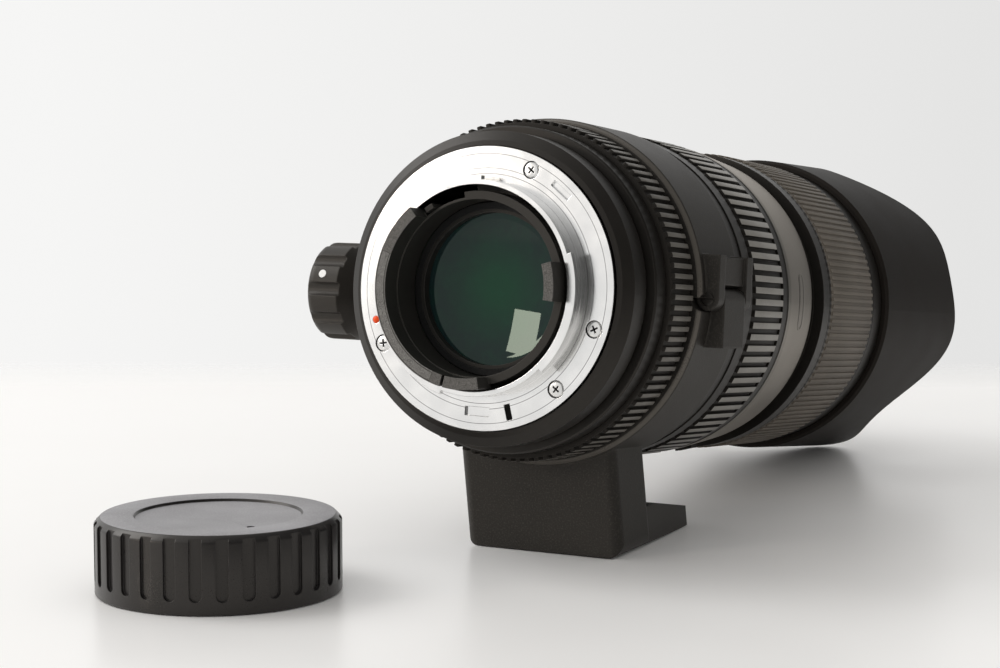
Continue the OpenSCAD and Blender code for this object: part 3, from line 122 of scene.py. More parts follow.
def section(inner: float, outer: float, start: float, end: float) -> list[Station]:
    """Returns the section of a ring, as corners of radius and height."""
    return [(inner, start), (outer, start), (outer, end), (inner, end)]


class Nodes:
    """A node tree that is built up from nothing."""

    def __init__(self, tree: bpy.types.NodeTree) -> None:
        """Empties the tree of a material or of the world."""
        self.tree = tree
        self.tree.nodes.clear()

    def feed(self, target: Socket, value: Value) -> None:
        """Gives an input a value or another node's output.

        Args:
            target: The input.
            value: What it takes.
        """
        if isinstance(value, Socket):
            self.tree.links.new(value, target)
        else:
            target.default_value = value

    def add(self, kind: str, *values: Value | None, **settings: object) -> bpy.types.Node:
        """Adds a node.

        Args:
            kind: The node's type after its first word, ShaderNode.
            values: What its inputs take, in order, with None for one that is left alone.
            settings: Properties to set on it.

        Returns:
            The new node.
        """
        node = self.tree.nodes.new("ShaderNode" + kind)
        for key, setting in settings.items():
            setattr(node, key, setting)
        for socket, value in zip(node.inputs, values):
            if value is not None:
                self.feed(socket, value)
        return node

    def math(self, operation: str, first: Value, second: Value = 0.0, clamp: bool = False) -> Socket:
        """Returns the result of a math node, kept between 0 and 1 if clamp is set."""
        return self.add("Math", first, second, operation=operation, use_clamp=clamp).outputs[0]

    def weigh(self, first: Socket, share: Value, second: Socket, other_share: Value) -> Socket:
        """Returns the sum of two outputs, each times its own share."""
        return self.math("ADD", self.math("MULTIPLY", first, share), self.math("MULTIPLY", second, other_share))

    def stretch(self, value: Socket, low: float, high: float, start: float = 0.0, end: float = 1.0) -> Socket:
        """Maps a value from the range low to high to the range start to end, and keeps it there."""
        return self.add("MapRange", value, low, high, start, end).outputs[0]


class NodeSheet(Nodes):
    """One material and the nodes that make it."""

    def __init__(self, name: str) -> None:
        """Starts a material with its shader and output.

        Args:
            name: The material's name.
        """
        self.material = bpy.data.materials.new(name)
        self.material.use_nodes = True
        super().__init__(self.material.node_tree)
        self.shader = self.add("BsdfPrincipled")
        self.add("OutputMaterial", self.shader.outputs[0])
        self.object_place = self.add("TexCoord").outputs["Object"]

    def surface(self, values: dict[str, Value]) -> Material:
        """Feeds the shader and ends the material.

        Args:
            values: What the shader's inputs take, by name.

        Returns:
            The material.
        """
        for name, value in values.items():
            self.feed(self.shader.inputs[name], value)
        return self.material

    def noise(self, size_mm: float, detail: float = 2.0) -> Socket:
        """Returns a noise of about 0 to 1 in Object coordinates, from the width of a grain and the octaves."""
        scale = 1.0 / (size_mm * MM)
        return self.add("TexNoise", self.object_place, None, scale, detail).outputs["Fac"]

    def mix(self, share: Value, first: Colour | Socket, second: Colour | Socket) -> Socket:
        """Mixes two colours.

        Args:
            share: Share of the second.
            first: First colour.
            second: Second colour.

        Returns:
            The mixed colour.
        """
        node = self.add("Mix", share, data_type="RGBA")
        for socket, colour in ((node.inputs[6], first), (node.inputs[7], second)):
            self.feed(socket, colour if isinstance(colour, Socket) else (*colour, 1.0))
        return node.outputs[2]

    def split(self, place: Socket) -> tuple[Socket, Socket, Socket]:
        """Splits coordinates into x, y and z."""
        return tuple(self.add("SeparateXYZ", place).outputs)

    def lens_place(self) -> tuple[Socket, Socket, Socket]:
        """Returns x, y and z in the lens's own frame, with z along the axis from the bayonet seat."""
        turned = self.add("Mapping", self.object_place, SEAT, LENS_TURN, vector_type="TEXTURE")
        return self.split(turned.outputs[0])

    def radius(self, x: Socket, y: Socket) -> Socket:
        """Returns the distance from the axis."""
        return self.math("SQRT", self.weigh(x, x, y, y))

    def away(self, value: Socket, mark: float) -> Socket:
        """Returns the distance of a value from a mark."""
        return self.math("ABSOLUTE", self.math("SUBTRACT", value, mark))

    def soft_edge(self, width_mm: float, samples: int = 6) -> tuple[Socket, Socket]:
        """Rounds sharp edges in the shading.

        Args:
            width_mm: Radius of the rounding.
            samples: Rays that look for the edge.

        Returns:
            The rounded normal, and a mask that is 1 along the edges.
        """
        rounded = self.add("Bevel", width_mm * MM, samples=samples).outputs[0]
        flat = self.add("NewGeometry").outputs["Normal"]
        dot = self.add("VectorMath", rounded, flat, operation="DOT_PRODUCT").outputs["Value"]
        return rounded, self.stretch(dot, *EDGE_TURN)

    def relief(self, height: Socket, depth_mm: float, normal: Socket, strength: float = 1.0) -> Socket:
        """Adds a bump.

        Args:
            height: Its height, 0 to 1.
            depth_mm: Depth of the full height.
            normal: The normal that it changes.
            strength: Share of the bump.

        Returns:
            The new normal.
        """
        bump = self.add("Bump", strength, depth_mm * MM)
        self.feed(bump.inputs["Height"], height)
        self.feed(bump.inputs["Normal"], normal)
        return bump.outputs[0]


@dataclass
class Ground:
    """A moulded material under way, with the noises and the edge mask that its parts share."""

    sheet: NodeSheet
    cloud: Socket
    grain: Socket
    edge: Socket


@dataclass(frozen=True)
class Moulded:
    """Plastic, rubber or paint with a grain, uneven sheen and lighter edges, partly wear and partly painted
    highlight.
    """

    name: str
    colour: Colour
    rough: float
    specular: float
    grain_mm: float
    grain_depth_mm: float
    edge_mm: float
    edge_gain: float
    metallic: float = 0.0
    coat: float = 0.0
    specks: float = 0.0

    def tone(self, ground: Ground) -> Socket:
        """Makes the colour: clouded, speckled with the grain, and lighter along scuffed edges, as wear and as a
        painted highlight.

        Args:
            ground: The material under way.

        Returns:
            The colour.
        """
        sheet = ground.sheet
        dark, light = (scaled(self.colour, gain) for gain in MOTTLE_GAINS)
        mottle = sheet.weigh(ground.cloud, CLOUD_SHARE, ground.grain, 1.0 - CLOUD_SHARE)
        base = sheet.mix(sheet.stretch(mottle, *EVEN), dark, light)
        if self.specks:
            bright = sheet.stretch(ground.grain, *SPECK_RANGE, 0.0, self.specks)
            base = sheet.mix(bright, base, scaled(self.colour, SPECK_GAIN))
        scuff = sheet.stretch(sheet.noise(SCUFF_MM, SLOW_DETAIL), *SCUFFED)
        # Scuffed edges lighter: wear, and a painted highlight
        return sheet.mix(sheet.math("MULTIPLY", ground.edge, scuff), base, scaled(self.colour, self.edge_gain))

    def polish(self, ground: Ground) -> Socket:
        """Returns the uneven roughness, about its middle value."""
        uneven = ground.sheet.weigh(ground.grain, GRAIN_ROUGH, ground.cloud, CLOUD_ROUGH)
        return ground.sheet.math("ADD", uneven, self.rough - (GRAIN_ROUGH + CLOUD_ROUGH) / 2.0, True)

    def material(self) -> Material:
        """Makes the finish.

        Returns:
            The material.
        """
        sheet = NodeSheet(self.name)
        normal, edge = sheet.soft_edge(self.edge_mm)
        ground = Ground(sheet, sheet.noise(CLOUD_MM, SLOW_DETAIL), sheet.noise(self.grain_mm), edge)
        return sheet.surface({
            "Base Color": self.tone(ground), "Roughness": self.polish(ground), "Metallic": self.metallic,
            "Specular IOR Level": self.specular, "Specular Tint": WARM_SHEEN,
            "Coat Weight": self.coat, "Coat Roughness": COAT_ROUGH,
            "Normal": sheet.relief(ground.grain, self.grain_depth_mm, normal)})


@dataclass(frozen=True)
class EndWorn(Moulded):
    """Moulded plastic whose end faces, behind a station on the axis, show a pale grain.

    A plate between two clock angles, where there is one, is coarser and has a seam round it.
    """

    end_mm: float = -10.05
    end_fade_mm: float = 0.1
    end_colour: Colour = (0.120, 0.115, 0.108)
    plate: Station | None = None
    plate_r: Station = (21.95, 24.12)
    plate_fade: float = 0.002
    plate_colour: Colour = (0.185, 0.180, 0.170)
    seam_mm: float = 0.14
    grain_gains: tuple[float, float] = (0.40, 1.25)

    def grained(self, ground: Ground, colour: Colour) -> Socket:
        """Returns a colour broken up by the grain."""
        dark, light = (scaled(colour, gain) for gain in self.grain_gains)
        return ground.sheet.mix(ground.sheet.stretch(ground.grain, *EVEN), dark, light)

    def inlay(self, ground: Ground, ends: Socket) -> Socket:
        """Adds the plate and its seam to the end face.

        Args:
            ground: The material under way.
            ends: Colour of the end face without the plate.

        Returns:
            The end face's colour.
        """
        sheet = ground.sheet
        x, y, _z = sheet.lens_place()
        radius = sheet.radius(x, y)
        start, end = (math.radians(angle) for angle in self.plate)
        middle, half = (start + end) / 2.0, (end - start) / 2.0
        along = sheet.weigh(x, math.cos(middle), y, -math.sin(middle))
        turn = sheet.math("SUBTRACT", sheet.math("DIVIDE", along, radius), math.cos(half))
        inside = sheet.stretch(turn, -self.plate_fade, 0.0)
        nearest = sheet.math("ABSOLUTE", sheet.math("MULTIPLY", turn, self.plate_r[0] * MM / math.sin(half)))
        for side_r in self.plate_r:
            nearest = sheet.math("MINIMUM", nearest, sheet.away(radius, side_r * MM))
        seam = sheet.stretch(nearest, 0.5 * self.seam_mm * MM, self.seam_mm * MM, 1.0, 0.0)
        face = sheet.mix(inside, ends, self.grained(ground, self.plate_colour))
        return sheet.mix(sheet.math("MULTIPLY", seam, inside), face, self.colour)

    def tone(self, ground: Ground) -> Socket:
        """Makes the moulded colour with the pale grained ends.

        Args:
            ground: The material under way.

        Returns:
            The colour.
        """
        base = super().tone(ground)
        z = ground.sheet.lens_place()[2]
        end = ground.sheet.stretch(z, (self.end_mm - self.end_fade_mm) * MM, self.end_mm * MM, 1.0, 0.0)
        ends = self.grained(ground, self.end_colour)
        return ground.sheet.mix(end, base, self.inlay(ground, ends) if self.plate else ends)


@dataclass(frozen=True)
class RimPaintedHighlight(Moulded):
    """Paint that is smoother along the collar's rear rim, and lightened there as a painted highlight."""

    rim_mm: Station = (30.7, 31.65)
    rim_r: float = 42.9
    fade_mm: float = 0.1
    front_fade_mm: float = 0.15
    # Gain on the paint's colour along the rim: painted highlight
    rim_highlight_gain: float = 5.0
    rim_rough: float = 0.30

    def rim(self, ground: Ground) -> Socket:
        """Makes a mask that is 1 along the rim.

        Args:
            ground: The material under way.

        Returns:
            The mask.
        """
        sheet = ground.sheet
        x, y, z = sheet.lens_place()
        start, end = self.rim_mm
        behind = sheet.stretch(z, end * MM, (end + self.front_fade_mm) * MM, 1.0, 0.0)
        ahead = sheet.stretch(z, (start - self.fade_mm) * MM, start * MM)
        outer = sheet.stretch(sheet.radius(x, y), (self.rim_r - self.fade_mm) * MM, self.rim_r * MM)
        return sheet.math("MULTIPLY", sheet.math("MULTIPLY", behind, ahead), outer)

    def tone(self, ground: Ground) -> Socket:
        """Returns the paint's colour, lightened along the rim as a painted highlight."""
        return ground.sheet.mix(self.rim(ground), super().tone(ground), scaled(self.colour, self.rim_highlight_gain))

    def polish(self, ground: Ground) -> Socket:
        """Returns the paint's roughness, smoother along the rim."""
        less = ground.sheet.math("MULTIPLY", self.rim(ground), self.rough - self.rim_rough)
        return ground.sheet.math("SUBTRACT", super().polish(ground), less)


@dataclass(frozen=True)
class Turned:
    """Metal turned on a lathe, with fine tool marks round the optical axis, circles engraved in its seat, and
    edges lighter as a painted highlight.
    """

    name: str
    colour: Colour
    rough: float
    mark_mm: float = 0.18
    mark_depth_mm: float = 0.004
    mark_slant: float = 0.7
    edge_mm: float = 0.18
    edge_gain: float = 1.06
    cloud_mm: float = 6.0
    cloud_gain: float = 0.93
    cloud_rough: float = 0.16
    circles_mm: tuple[float, ...] = ()
    circle_width_mm: float = 0.11
    circle_core: float = 0.4
    circle_gain: float = 0.30
    seat_mm: Station = (0.15, 0.3)

    def material(self) -> Material:
        """Makes the finish.

        Returns:
            The material.
        """
        sheet = NodeSheet(self.name)
        normal, edge = sheet.soft_edge(self.edge_mm)
        x, y, z = sheet.lens_place()
        radius = sheet.radius(x, y)
        run, scale = sheet.weigh(radius, 1.0, z, self.mark_slant), 1.0 / (self.mark_mm * MM)
        marks = sheet.add("TexNoise", None, run, scale, SLOW_DETAIL, noise_dimensions="1D").outputs["Fac"]
        cloud = sheet.noise(self.cloud_mm, SLOW_DETAIL)
        tone = sheet.mix(sheet.stretch(cloud, *WIDE), scaled(self.colour, self.cloud_gain), self.colour)
        for circle in self.circles_mm:
            width = self.circle_width_mm * MM
            line = sheet.stretch(sheet.away(radius, circle * MM), self.circle_core * width, width, 1.0, 0.0)
            seat = sheet.stretch(sheet.math("ABSOLUTE", z), *(end * MM for end in self.seat_mm), 1.0, 0.0)
            tone = sheet.mix(sheet.math("MULTIPLY", line, seat), tone, scaled(self.colour, self.circle_gain))
        uneven = sheet.math("MULTIPLY", sheet.math("SUBTRACT", cloud, 0.5), self.cloud_rough)
        return sheet.surface({
            # Lighter edges on the metal: painted highlight
            "Base Color": sheet.mix(edge, tone, scaled(self.colour, self.edge_gain)), "Metallic": 1.0,
            "Roughness": sheet.math("ADD", uneven, self.rough, True),
            "Normal": sheet.relief(marks, self.mark_depth_mm, normal)})


@dataclass(frozen=True)
class Baffle:
    """Matt black with fine grooves along the axis, as inside a lens tube, and edges lighter as a painted
    highlight.
    """

    name: str
    colour: Colour
    pitch_mm: float = 0.8
    depth_mm: float = 0.15
    strength: float = 0.8
    edge_mm: float = 0.15
    edge_gain: float = 3.0
    cloud_mm: float = 5.0
    cloud_gain: float = 1.6
    grain_mm: float = 0.4
    rough: Ramp = (0.3, 0.7, 0.5, 0.7)
    specular: float = 0.25

    def material(self) -> Material:
        """Makes the finish.

        Returns:
            The material.
        """
        sheet = NodeSheet(self.name)
        normal, edge = sheet.soft_edge(self.edge_mm)
        z = sheet.lens_place()[2]
        groove = sheet.math("SINE", sheet.math("MULTIPLY", z, 2.0 * math.pi / (self.pitch_mm * MM)))
        tone = sheet.mix(sheet.noise(self.cloud_mm), self.colour, scaled(self.colour, self.cloud_gain))
        return sheet.surface({
            # Lighter edges on the black: painted highlight
            "Base Color": sheet.mix(edge, tone, scaled(self.colour, self.edge_gain)),
            "Roughness": sheet.stretch(sheet.noise(self.grain_mm), *self.rough),
            "Specular IOR Level": self.specular,
            "Normal": sheet.relief(sheet.stretch(groove, -1.0, 1.0), self.depth_mm, normal, self.strength)})


@dataclass(frozen=True)
class CoatedGlass:
    """Lens glass with a coloured anti-reflection coating and a dark body, lighter at its centre and darker
    toward its rim as a painted reflection.
    """

    name: str
    body: Colour
    rim: Colour
    sheen: Colour
    clear: float
    specular: float = 0.5
    ior: float = 1.6
    rim_mm: Station = (3.0, 15.0)
    dust_mm: float = 3.0
    dust_detail: float = 4.0
    dust_gain: float = 1.3
    dust_tone: Ramp = (0.45, 0.75, 0.0, 0.25)
    dust_rough: Ramp = (0.5, 0.8, 0.01, 0.05)

    def material(self) -> Material:
        """Makes the finish.

        Returns:
            The material.
        """
        sheet = NodeSheet(self.name)
        x, y, _z = sheet.lens_place()
        # Centre lighter than the rim: painted reflection
        rim = sheet.stretch(sheet.radius(x, y), *(end * MM for end in self.rim_mm))
        tone = sheet.mix(rim, self.body, self.rim)
        dust = sheet.noise(self.dust_mm, self.dust_detail)
        dusty = sheet.mix(sheet.stretch(dust, *self.dust_tone), tone, scaled(self.body, self.dust_gain))
        return sheet.surface({
            "Base Color": dusty, "Roughness": sheet.stretch(dust, *self.dust_rough), "IOR": self.ior,
            "Specular Tint": (*self.sheen, 1.0), "Specular IOR Level": self.specular,
            "Transmission Weight": self.clear})


@dataclass(frozen=True)
class Tabletop:
    """Pale smooth table that fades into the background at its far edge, with lengths in metres."""

    name: str
    colour: Colour
    far_way: tuple[float, float]
    far_at: float
    fade: float
    round_edge: Station = (0.7, 1.0)
    cloud_mm: float = 90.0
    cloud_gain: float = 0.985
    sheen_mm: float = 60.0
    rough: Ramp = (0.3, 0.7, 0.28, 0.36)
    specular: float = 0.35

    def material(self) -> Material:
        """Makes the finish.

        Returns:
            The material.
        """
        sheet = NodeSheet(self.name)
        x, y, _z = sheet.split(sheet.object_place)
        out = sheet.weigh(x, self.far_way[0], y, self.far_way[1])
        far = sheet.stretch(out, self.far_at - self.fade, self.far_at + self.fade, 1.0, 0.0)
        near = sheet.stretch(sheet.radius(x, y), *self.round_edge, 1.0, 0.0)
        dark = scaled(self.colour, self.cloud_gain)
        return sheet.surface({
            "Base Color": sheet.mix(sheet.noise(self.cloud_mm), dark, self.colour),
            "Roughness": sheet.stretch(sheet.noise(self.sheen_mm), *self.rough),
            "Specular IOR Level": self.specular, "Alpha": sheet.math("MULTIPLY", far, near)})


Finish = Union[Moulded, Turned, Baffle, CoatedGlass, Tabletop]

# Moulded: name, colour, roughness, specular, grain, its depth, width of the lighter edges (wear and painted
# highlight) and gain on their colour
SHELL = Moulded("matt_black_shell", (0.0092, 0.0081, 0.0070), 0.40, 0.38, 0.30, 0.010, 0.30, 3.0)
BAND = Moulded("satin_grey_band", (0.195, 0.188, 0.177), 0.36, 0.4, 0.12, 0.006, 0.25, 1.3, metallic=0.85)
# The collar paint gets a painted highlight along its rear rim
PAINT = RimPaintedHighlight(
    "textured_black_paint", (0.0160, 0.0144, 0.0124), 0.50, 0.42, 0.45, 0.045, 0.8, 2.0, specks=0.6)
KNOB = Moulded("knob_plastic", (0.0220, 0.0195, 0.0168), 0.40, 0.36, 0.25, 0.012, 0.5, 2.0)
WHITE = Moulded("white_mark", (0.80, 0.80, 0.78), 0.5, 0.3, 0.2, 0.004, 0.1, 1.1)
RED = Moulded("red_bead", (0.86, 0.085, 0.012), 0.40, 0.25, 0.4, 0.002, 0.2, 1.1, coat=0.1)
GUARD = EndWorn(
    "guard_plastic", (0.0240, 0.0228, 0.0205), 0.45, 0.25, 0.22, 0.012, 0.25, 2.4, plate=(160.0, 250.0))
INNER = Moulded("inner_plastic", (0.0200, 0.0190, 0.0172), 0.45, 0.25, 0.22, 0.010, 0.2, 3.5)
CONTACT = EndWorn(
    "grained_contact_block", (0.060, 0.060, 0.058), 0.55, 0.3, 0.45, 0.07, 0.25, 1.8,
    end_mm=-9.3, end_colour=(0.19, 0.186, 0.178))
BOARD = Moulded("green_board", (0.02, 0.10, 0.04), 0.4, 0.4, 0.6, 0.01, 0.1, 1.4)
BLADE = Moulded("blade_steel", (0.03, 0.03, 0.032), 0.4, 0.4, 0.5, 0.003, 0.05, 1.5, metallic=0.6)
RUBBER = Moulded("ribbed_rubber", (0.0135, 0.0118, 0.0100), 0.5, 0.22, 0.3, 0.01, 0.15, 2.2)
# Tooth and rib tops lighter than their rubber: painted highlight
RING_TEETH_HIGHLIGHT = Moulded("ring_teeth_painted_highlight", (0.105, 0.098, 0.086), 0.40, 0.45, 0.4, 0.01, 0.22, 1.5)
RIB_TOPS_HIGHLIGHT = Moulded("rib_tops_painted_highlight", (0.215, 0.205, 0.186), 0.40, 0.4, 0.5, 0.01, 0.15, 1.25)
FINE_RUBBER = Moulded("fine_ribbed_rubber", (0.130, 0.113, 0.093), 0.55, 0.3, 0.3, 0.008, 0.1, 1.5)
HOOD = Moulded("hood_plastic", (0.0125, 0.0100, 0.0082), 0.55, 0.16, 0.35, 0.012, 0.4, 2.0)
CAP = Moulded("cap_plastic", (0.0150, 0.0140, 0.0140), 0.30, 0.45, 0.30, 0.012, 0.25, 2.4)
# Flat cap top: sanded grain, painted far lighter than the cap as a painted reflection
CAP_TOP_REFLECTION = Moulded("sanded_cap_top_painted_reflection", (0.275, 0.270, 0.280), 0.55, 0.4, 0.35, 0.06, 0.25, 1.3, specks=0.12)
# Near black for recesses and gaps: painted shade
PAINTED_SHADE = Moulded("painted_recess_shade", (0.004, 0.004, 0.004), 0.7, 0.1, 0.3, 0.01, 0.1, 1.2)

# Turned: name, colour, roughness
STEEL = Turned("bright_steel", (0.72, 0.72, 0.71), 0.22)
CHROME = Turned("satin_chrome", (0.82, 0.82, 0.815), 0.17, circles_mm=(32.6, 29.1, 27.75))
GOLD = Turned("gold_contacts", (0.83, 0.62, 0.26), 0.2)
METAL = Turned("plain_turned_metal", (0.56, 0.55, 0.52), 0.35)
BRASS = Turned("brass", (0.72, 0.58, 0.30), 0.3)
CELL = Baffle("black_cell", (0.0060, 0.0060, 0.0058))

# Glass: name, colour of its body at the centre (lighter there as a painted reflection) and toward its rim, tint
# of the coating, share that is clear
REAR_GLASS = CoatedGlass(
    "green_coated_glass", (0.004, 0.046, 0.021), (0.009, 0.020, 0.021), (0.80, 1.0, 0.88), 0.0, specular=0.22)
FRONT_GLASS = CoatedGlass(
    "blue_coated_glass", (0.012, 0.022, 0.035), (0.006, 0.010, 0.018), (0.7, 0.6, 1.0), 0.35)
WINDOW = CoatedGlass("clear_window", (0.05, 0.055, 0.055), (0.05, 0.055, 0.055), (1.0, 1.0, 1.0), 0.6)
TABLE = Tabletop("pale_table", (0.94, 0.927, 0.910), far_way=(-0.4587, 0.8886), far_at=0.35, fade=0.045)

# The solids that each finish goes on
SOLIDS: tuple[tuple[Finish, str], ...] = (
    (SHELL, "rear_barrel main_tube front_barrel zoom_ring focus_ring filter_ring"),
    (PAINT, "collar_base collar_upper"),
    (STEEL, "hinge_pin tripod_bush clamp_stud mount_screws zoom_key iris_drive_ring"),
    (INNER, "rear_retaining_ring mode_switch aperture_lever"),
    (CELL, "rear_cell front_cell variator_cell compensator_cell focus_cell iris_housing"),
    (METAL, "guide_tube cam_tube"),
    (BRASS, "variator_pins compensator_pins focus_pins focus_motor"),
    (BLADE, " ".join(f"iris_blade_{i}" for i in range(1, 8))),
    (REAR_GLASS, "rear_element relay_element"),
    (FRONT_GLASS, "variator_element compensator_element focus_element second_element front_element"),
    (RUBBER, "aperture_ring zoom_grip"), (FINE_RUBBER, "focus_grip"), (BAND, "scale_band"), (HOOD, "hood"),
    (KNOB, "clamp_knob"), (WHITE, "knob_dot"), (CHROME, "bayonet_mount"), (RED, "index_bead"),
    (GUARD, "rear_guard"), (CONTACT, "contact_block"), (GOLD, "contact_pins"), (BOARD, "circuit_board"),
    (WINDOW, "distance_window"), (CAP, "rear_cap"),
)


@cache
def material_of(finish: Finish) -> Material:
    """Returns the finish's material, which is made once."""
    return finish.material()


def coat(piece: Piece, *finishes: Finish) -> None:
    """Gives a piece its materials.

    Args:
        piece: The piece.
        finishes: One per slot, in order.
    """
    piece.data.materials.clear()
    for finish in finishes:
        piece.data.materials.append(material_of(finish))


# Modelling steps that the pieces share

def clear() -> None:
    """Leaves edit mode and deselects everything."""
    if bpy.context.object and bpy.context.object.mode != "OBJECT":
        bpy.ops.object.mode_set(mode="OBJECT")
    bpy.ops.object.select_all(action="DESELECT")


def take(piece: Piece) -> None:
    """Makes one piece the only one selected.

    Args:
        piece: The piece.
    """
    clear()
    piece.select_set(True)
    bpy.context.view_layer.objects.active = piece


def fresh(name: str) -> Piece:
    """Names the piece that was just added.

    Args:
        name: Its name.

    Returns:
        The piece.
    """
    piece = bpy.context.object
    piece.name = piece.data.name = name
    return piece


def apply() -> None:
    """Puts the places of the selected pieces into their meshes."""
    bpy.ops.object.transform_apply(location=True, rotation=True, scale=True)


def edit(piece: Piece, kind: str = "FACE") -> None:
    """Enters edit mode on one piece.

    Args:
        piece: The piece.
        kind: VERT, EDGE or FACE selection.
    """
    take(piece)
    bpy.ops.object.mode_set(mode="EDIT")
    bpy.ops.mesh.select_mode(type=kind)


def done() -> None:
    """Leaves edit mode."""
    bpy.ops.object.mode_set(mode="OBJECT")


@contextmanager
def picked(piece: Piece, kind: str, test: Test) -> Iterator[None]:
    """Opens a piece in edit mode with the elements that pass a test selected, and closes it afterwards.

    Args:
        piece: The piece.
        kind: VERT, EDGE or FACE.
        test: Takes an element's middle and its direction, a normal or an edge's run.
    """
    edit(piece, kind)
    bpy.ops.mesh.select_all(action="DESELECT")
    done()
    mesh = piece.data
    if kind == "VERT":
        for vertex in mesh.vertices:
            vertex.select = test(vertex.co, vertex.normal)
    elif kind == "EDGE":
        for edge in mesh.edges:
            start, end = (mesh.vertices[i].co for i in edge.vertices)
            edge.select = test((start + end) / 2.0, (end - start).normalized())
    else:
        for face in mesh.polygons:
            face.select = test(face.center, face.normal)
    bpy.ops.object.mode_set(mode="EDIT")
    yield
    done()


def shift(piece: Piece, by_mm: Sequence[float], test: Test) -> None:
    """Moves the vertices that pass a test.

    Args:
        piece: The piece.
        by_mm: How far they move.
        test: Takes a vertex's place and normal.
    """
    with picked(piece, "VERT", test):
        bpy.ops.transform.translate(value=[c * MM for c in by_mm])


def settle(piece: Piece, place: Matrix) -> None:
    """Moves a piece to its place and puts that place into its mesh.

    Args:
        piece: The piece.
        place: Its place.
    """
    take(piece)
    piece.matrix_world = place
    apply()


def copies(piece: Piece, places: Iterable[Matrix]) -> list[Piece]:
    """Copies a piece to several places, each copy with its own mesh.

    Args:
        piece: The model, which is removed.
        places: Where the copies go.

    Returns:
        The copies.
    """
    made = []
    for place in places:
        twin = piece.copy()
        twin.data = piece.data.copy()
        bpy.context.scene.collection.objects.link(twin)
        twin.matrix_world = place
        made.append(twin)
    bpy.data.objects.remove(piece)
    return made


def join(name: str, pieces: Sequence[Piece]) -> Piece:
    """Joins pieces into one, at the origin.

    Args:
        name: Name of the result.
        pieces: What is joined.

    Returns:
        The joined piece.
    """
    clear()
    bpy.context.view_layer.update()
    for piece in pieces:
        piece.select_set(True)
    bpy.context.view_layer.objects.active = pieces[0]
    apply()
    bpy.ops.object.join()
    return fresh(name)


def lathe(name: str, profile: Sequence[Station], rounding_mm: float, steps: int = 180) -> Piece:
    """Turns a closed profile round the local z axis, and closes the seam with the faces outward.

    Args:
        name: Name of the piece.
        profile: Corners as radius and height.
        rounding_mm: Rounding of the corners off the axis.
        steps: Steps round the axis.

    Returns:
        The turned piece at the origin.
    """
    clear()
    bpy.ops.mesh.primitive_circle_add(vertices=len(profile), radius=MM, fill_type="NOTHING")
    piece = fresh(name)
    for vertex, (r, z) in zip(piece.data.vertices, profile):
        vertex.co = (r * MM, 0.0, z * MM)
    if rounding_mm:
        with picked(piece, "VERT", lambda place, _way: place.x > OFF_AXIS):
            bpy.ops.mesh.bevel(offset=rounding_mm * MM, segments=2, affect="VERTICES")
    edit(piece)
    bpy.ops.mesh.select_all(action="SELECT")
    bpy.ops.mesh.spin(steps=steps, angle=math.radians(360.0), center=(0, 0, 0), axis=(0, 0, 1))
    bpy.ops.mesh.select_all(action="SELECT")
    bpy.ops.mesh.remove_doubles(threshold=DOUBLED)
    bpy.ops.mesh.delete_loose()
    bpy.ops.mesh.select_all(action="SELECT")
    bpy.ops.mesh.normals_make_consistent(inside=False)
    done()
    return piece


def block(name: str, size_mm: Sequence[float], middle_mm: Sequence[float]) -> Piece:
    """Adds a block at its size and place.

    Args:
        name: Name of the piece.
        size_mm: Its three sides.
        middle_mm: Its middle.

    Returns:
        The block with its place in its mesh.
    """
    clear()
    bpy.ops.mesh.primitive_cube_add(size=1.0, location=[c * MM for c in middle_mm])
    piece = fresh(name)
    piece.scale = [s * MM for s in size_mm]
    apply()
    return piece


def bar(width_mm: float, length_mm: float, sides: int) -> Piece:
    """Adds a round bar along the local x axis, with its middle at the origin.

    Args:
        width_mm: Its diameter.
        length_mm: Its length.
        sides: Flats round it.

    Returns:
        The bar.
    """
    clear()
    bpy.ops.mesh.primitive_cylinder_add(
        vertices=sides, radius=width_mm / 2 * MM, depth=length_mm * MM, rotation=(0.0, math.radians(90.0), 0.0))
    apply()
    return bpy.context.object


def cut(piece: Piece, cutter: Piece, operation: str = "DIFFERENCE") -> None:
    """Cuts one piece with another, which is removed.

    Args:
        piece: What is cut.
        cutter: The other piece.
        operation: DIFFERENCE or INTERSECT.
    """
    take(piece)
    change = piece.modifiers.new("cut", "BOOLEAN")
    change.operation, change.solver, change.object = operation, "EXACT", cutter
    bpy.ops.object.modifier_apply(modifier="cut")
    bpy.data.objects.remove(cutter)


def paint_faces(piece: Piece, test: Test) -> None:
    """Gives the faces that pass a test the piece's second material.

    Args:
        piece: The piece.
        test: Takes a face's middle and normal.
    """
    for face in piece.data.polygons:
        if test(face.center, face.normal):
            face.material_index = 1


def deliver(piece: Piece, place: Matrix, smooth: float, body: Body, slot: Slot, *replaced: str) -> None:
    """Shades a finished piece, puts it in its place and hands it over to the frame.

    Args:
        piece: The piece.
        place: Its place.
        smooth: Degrees up to which its edges are shaded smooth.
        body: Body that it rides on.
        slot: Not used.
        replaced: Solids that it stands for.
    """
    take(piece)
    bpy.ops.object.shade_smooth_by_angle(angle=math.radians(smooth))
    settle(piece, place)
    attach(piece, body.value)
    if replaced:
        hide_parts(*replaced)
    log.info("%s: %d faces on %s", piece.name, len(piece.data.polygons), body.value)


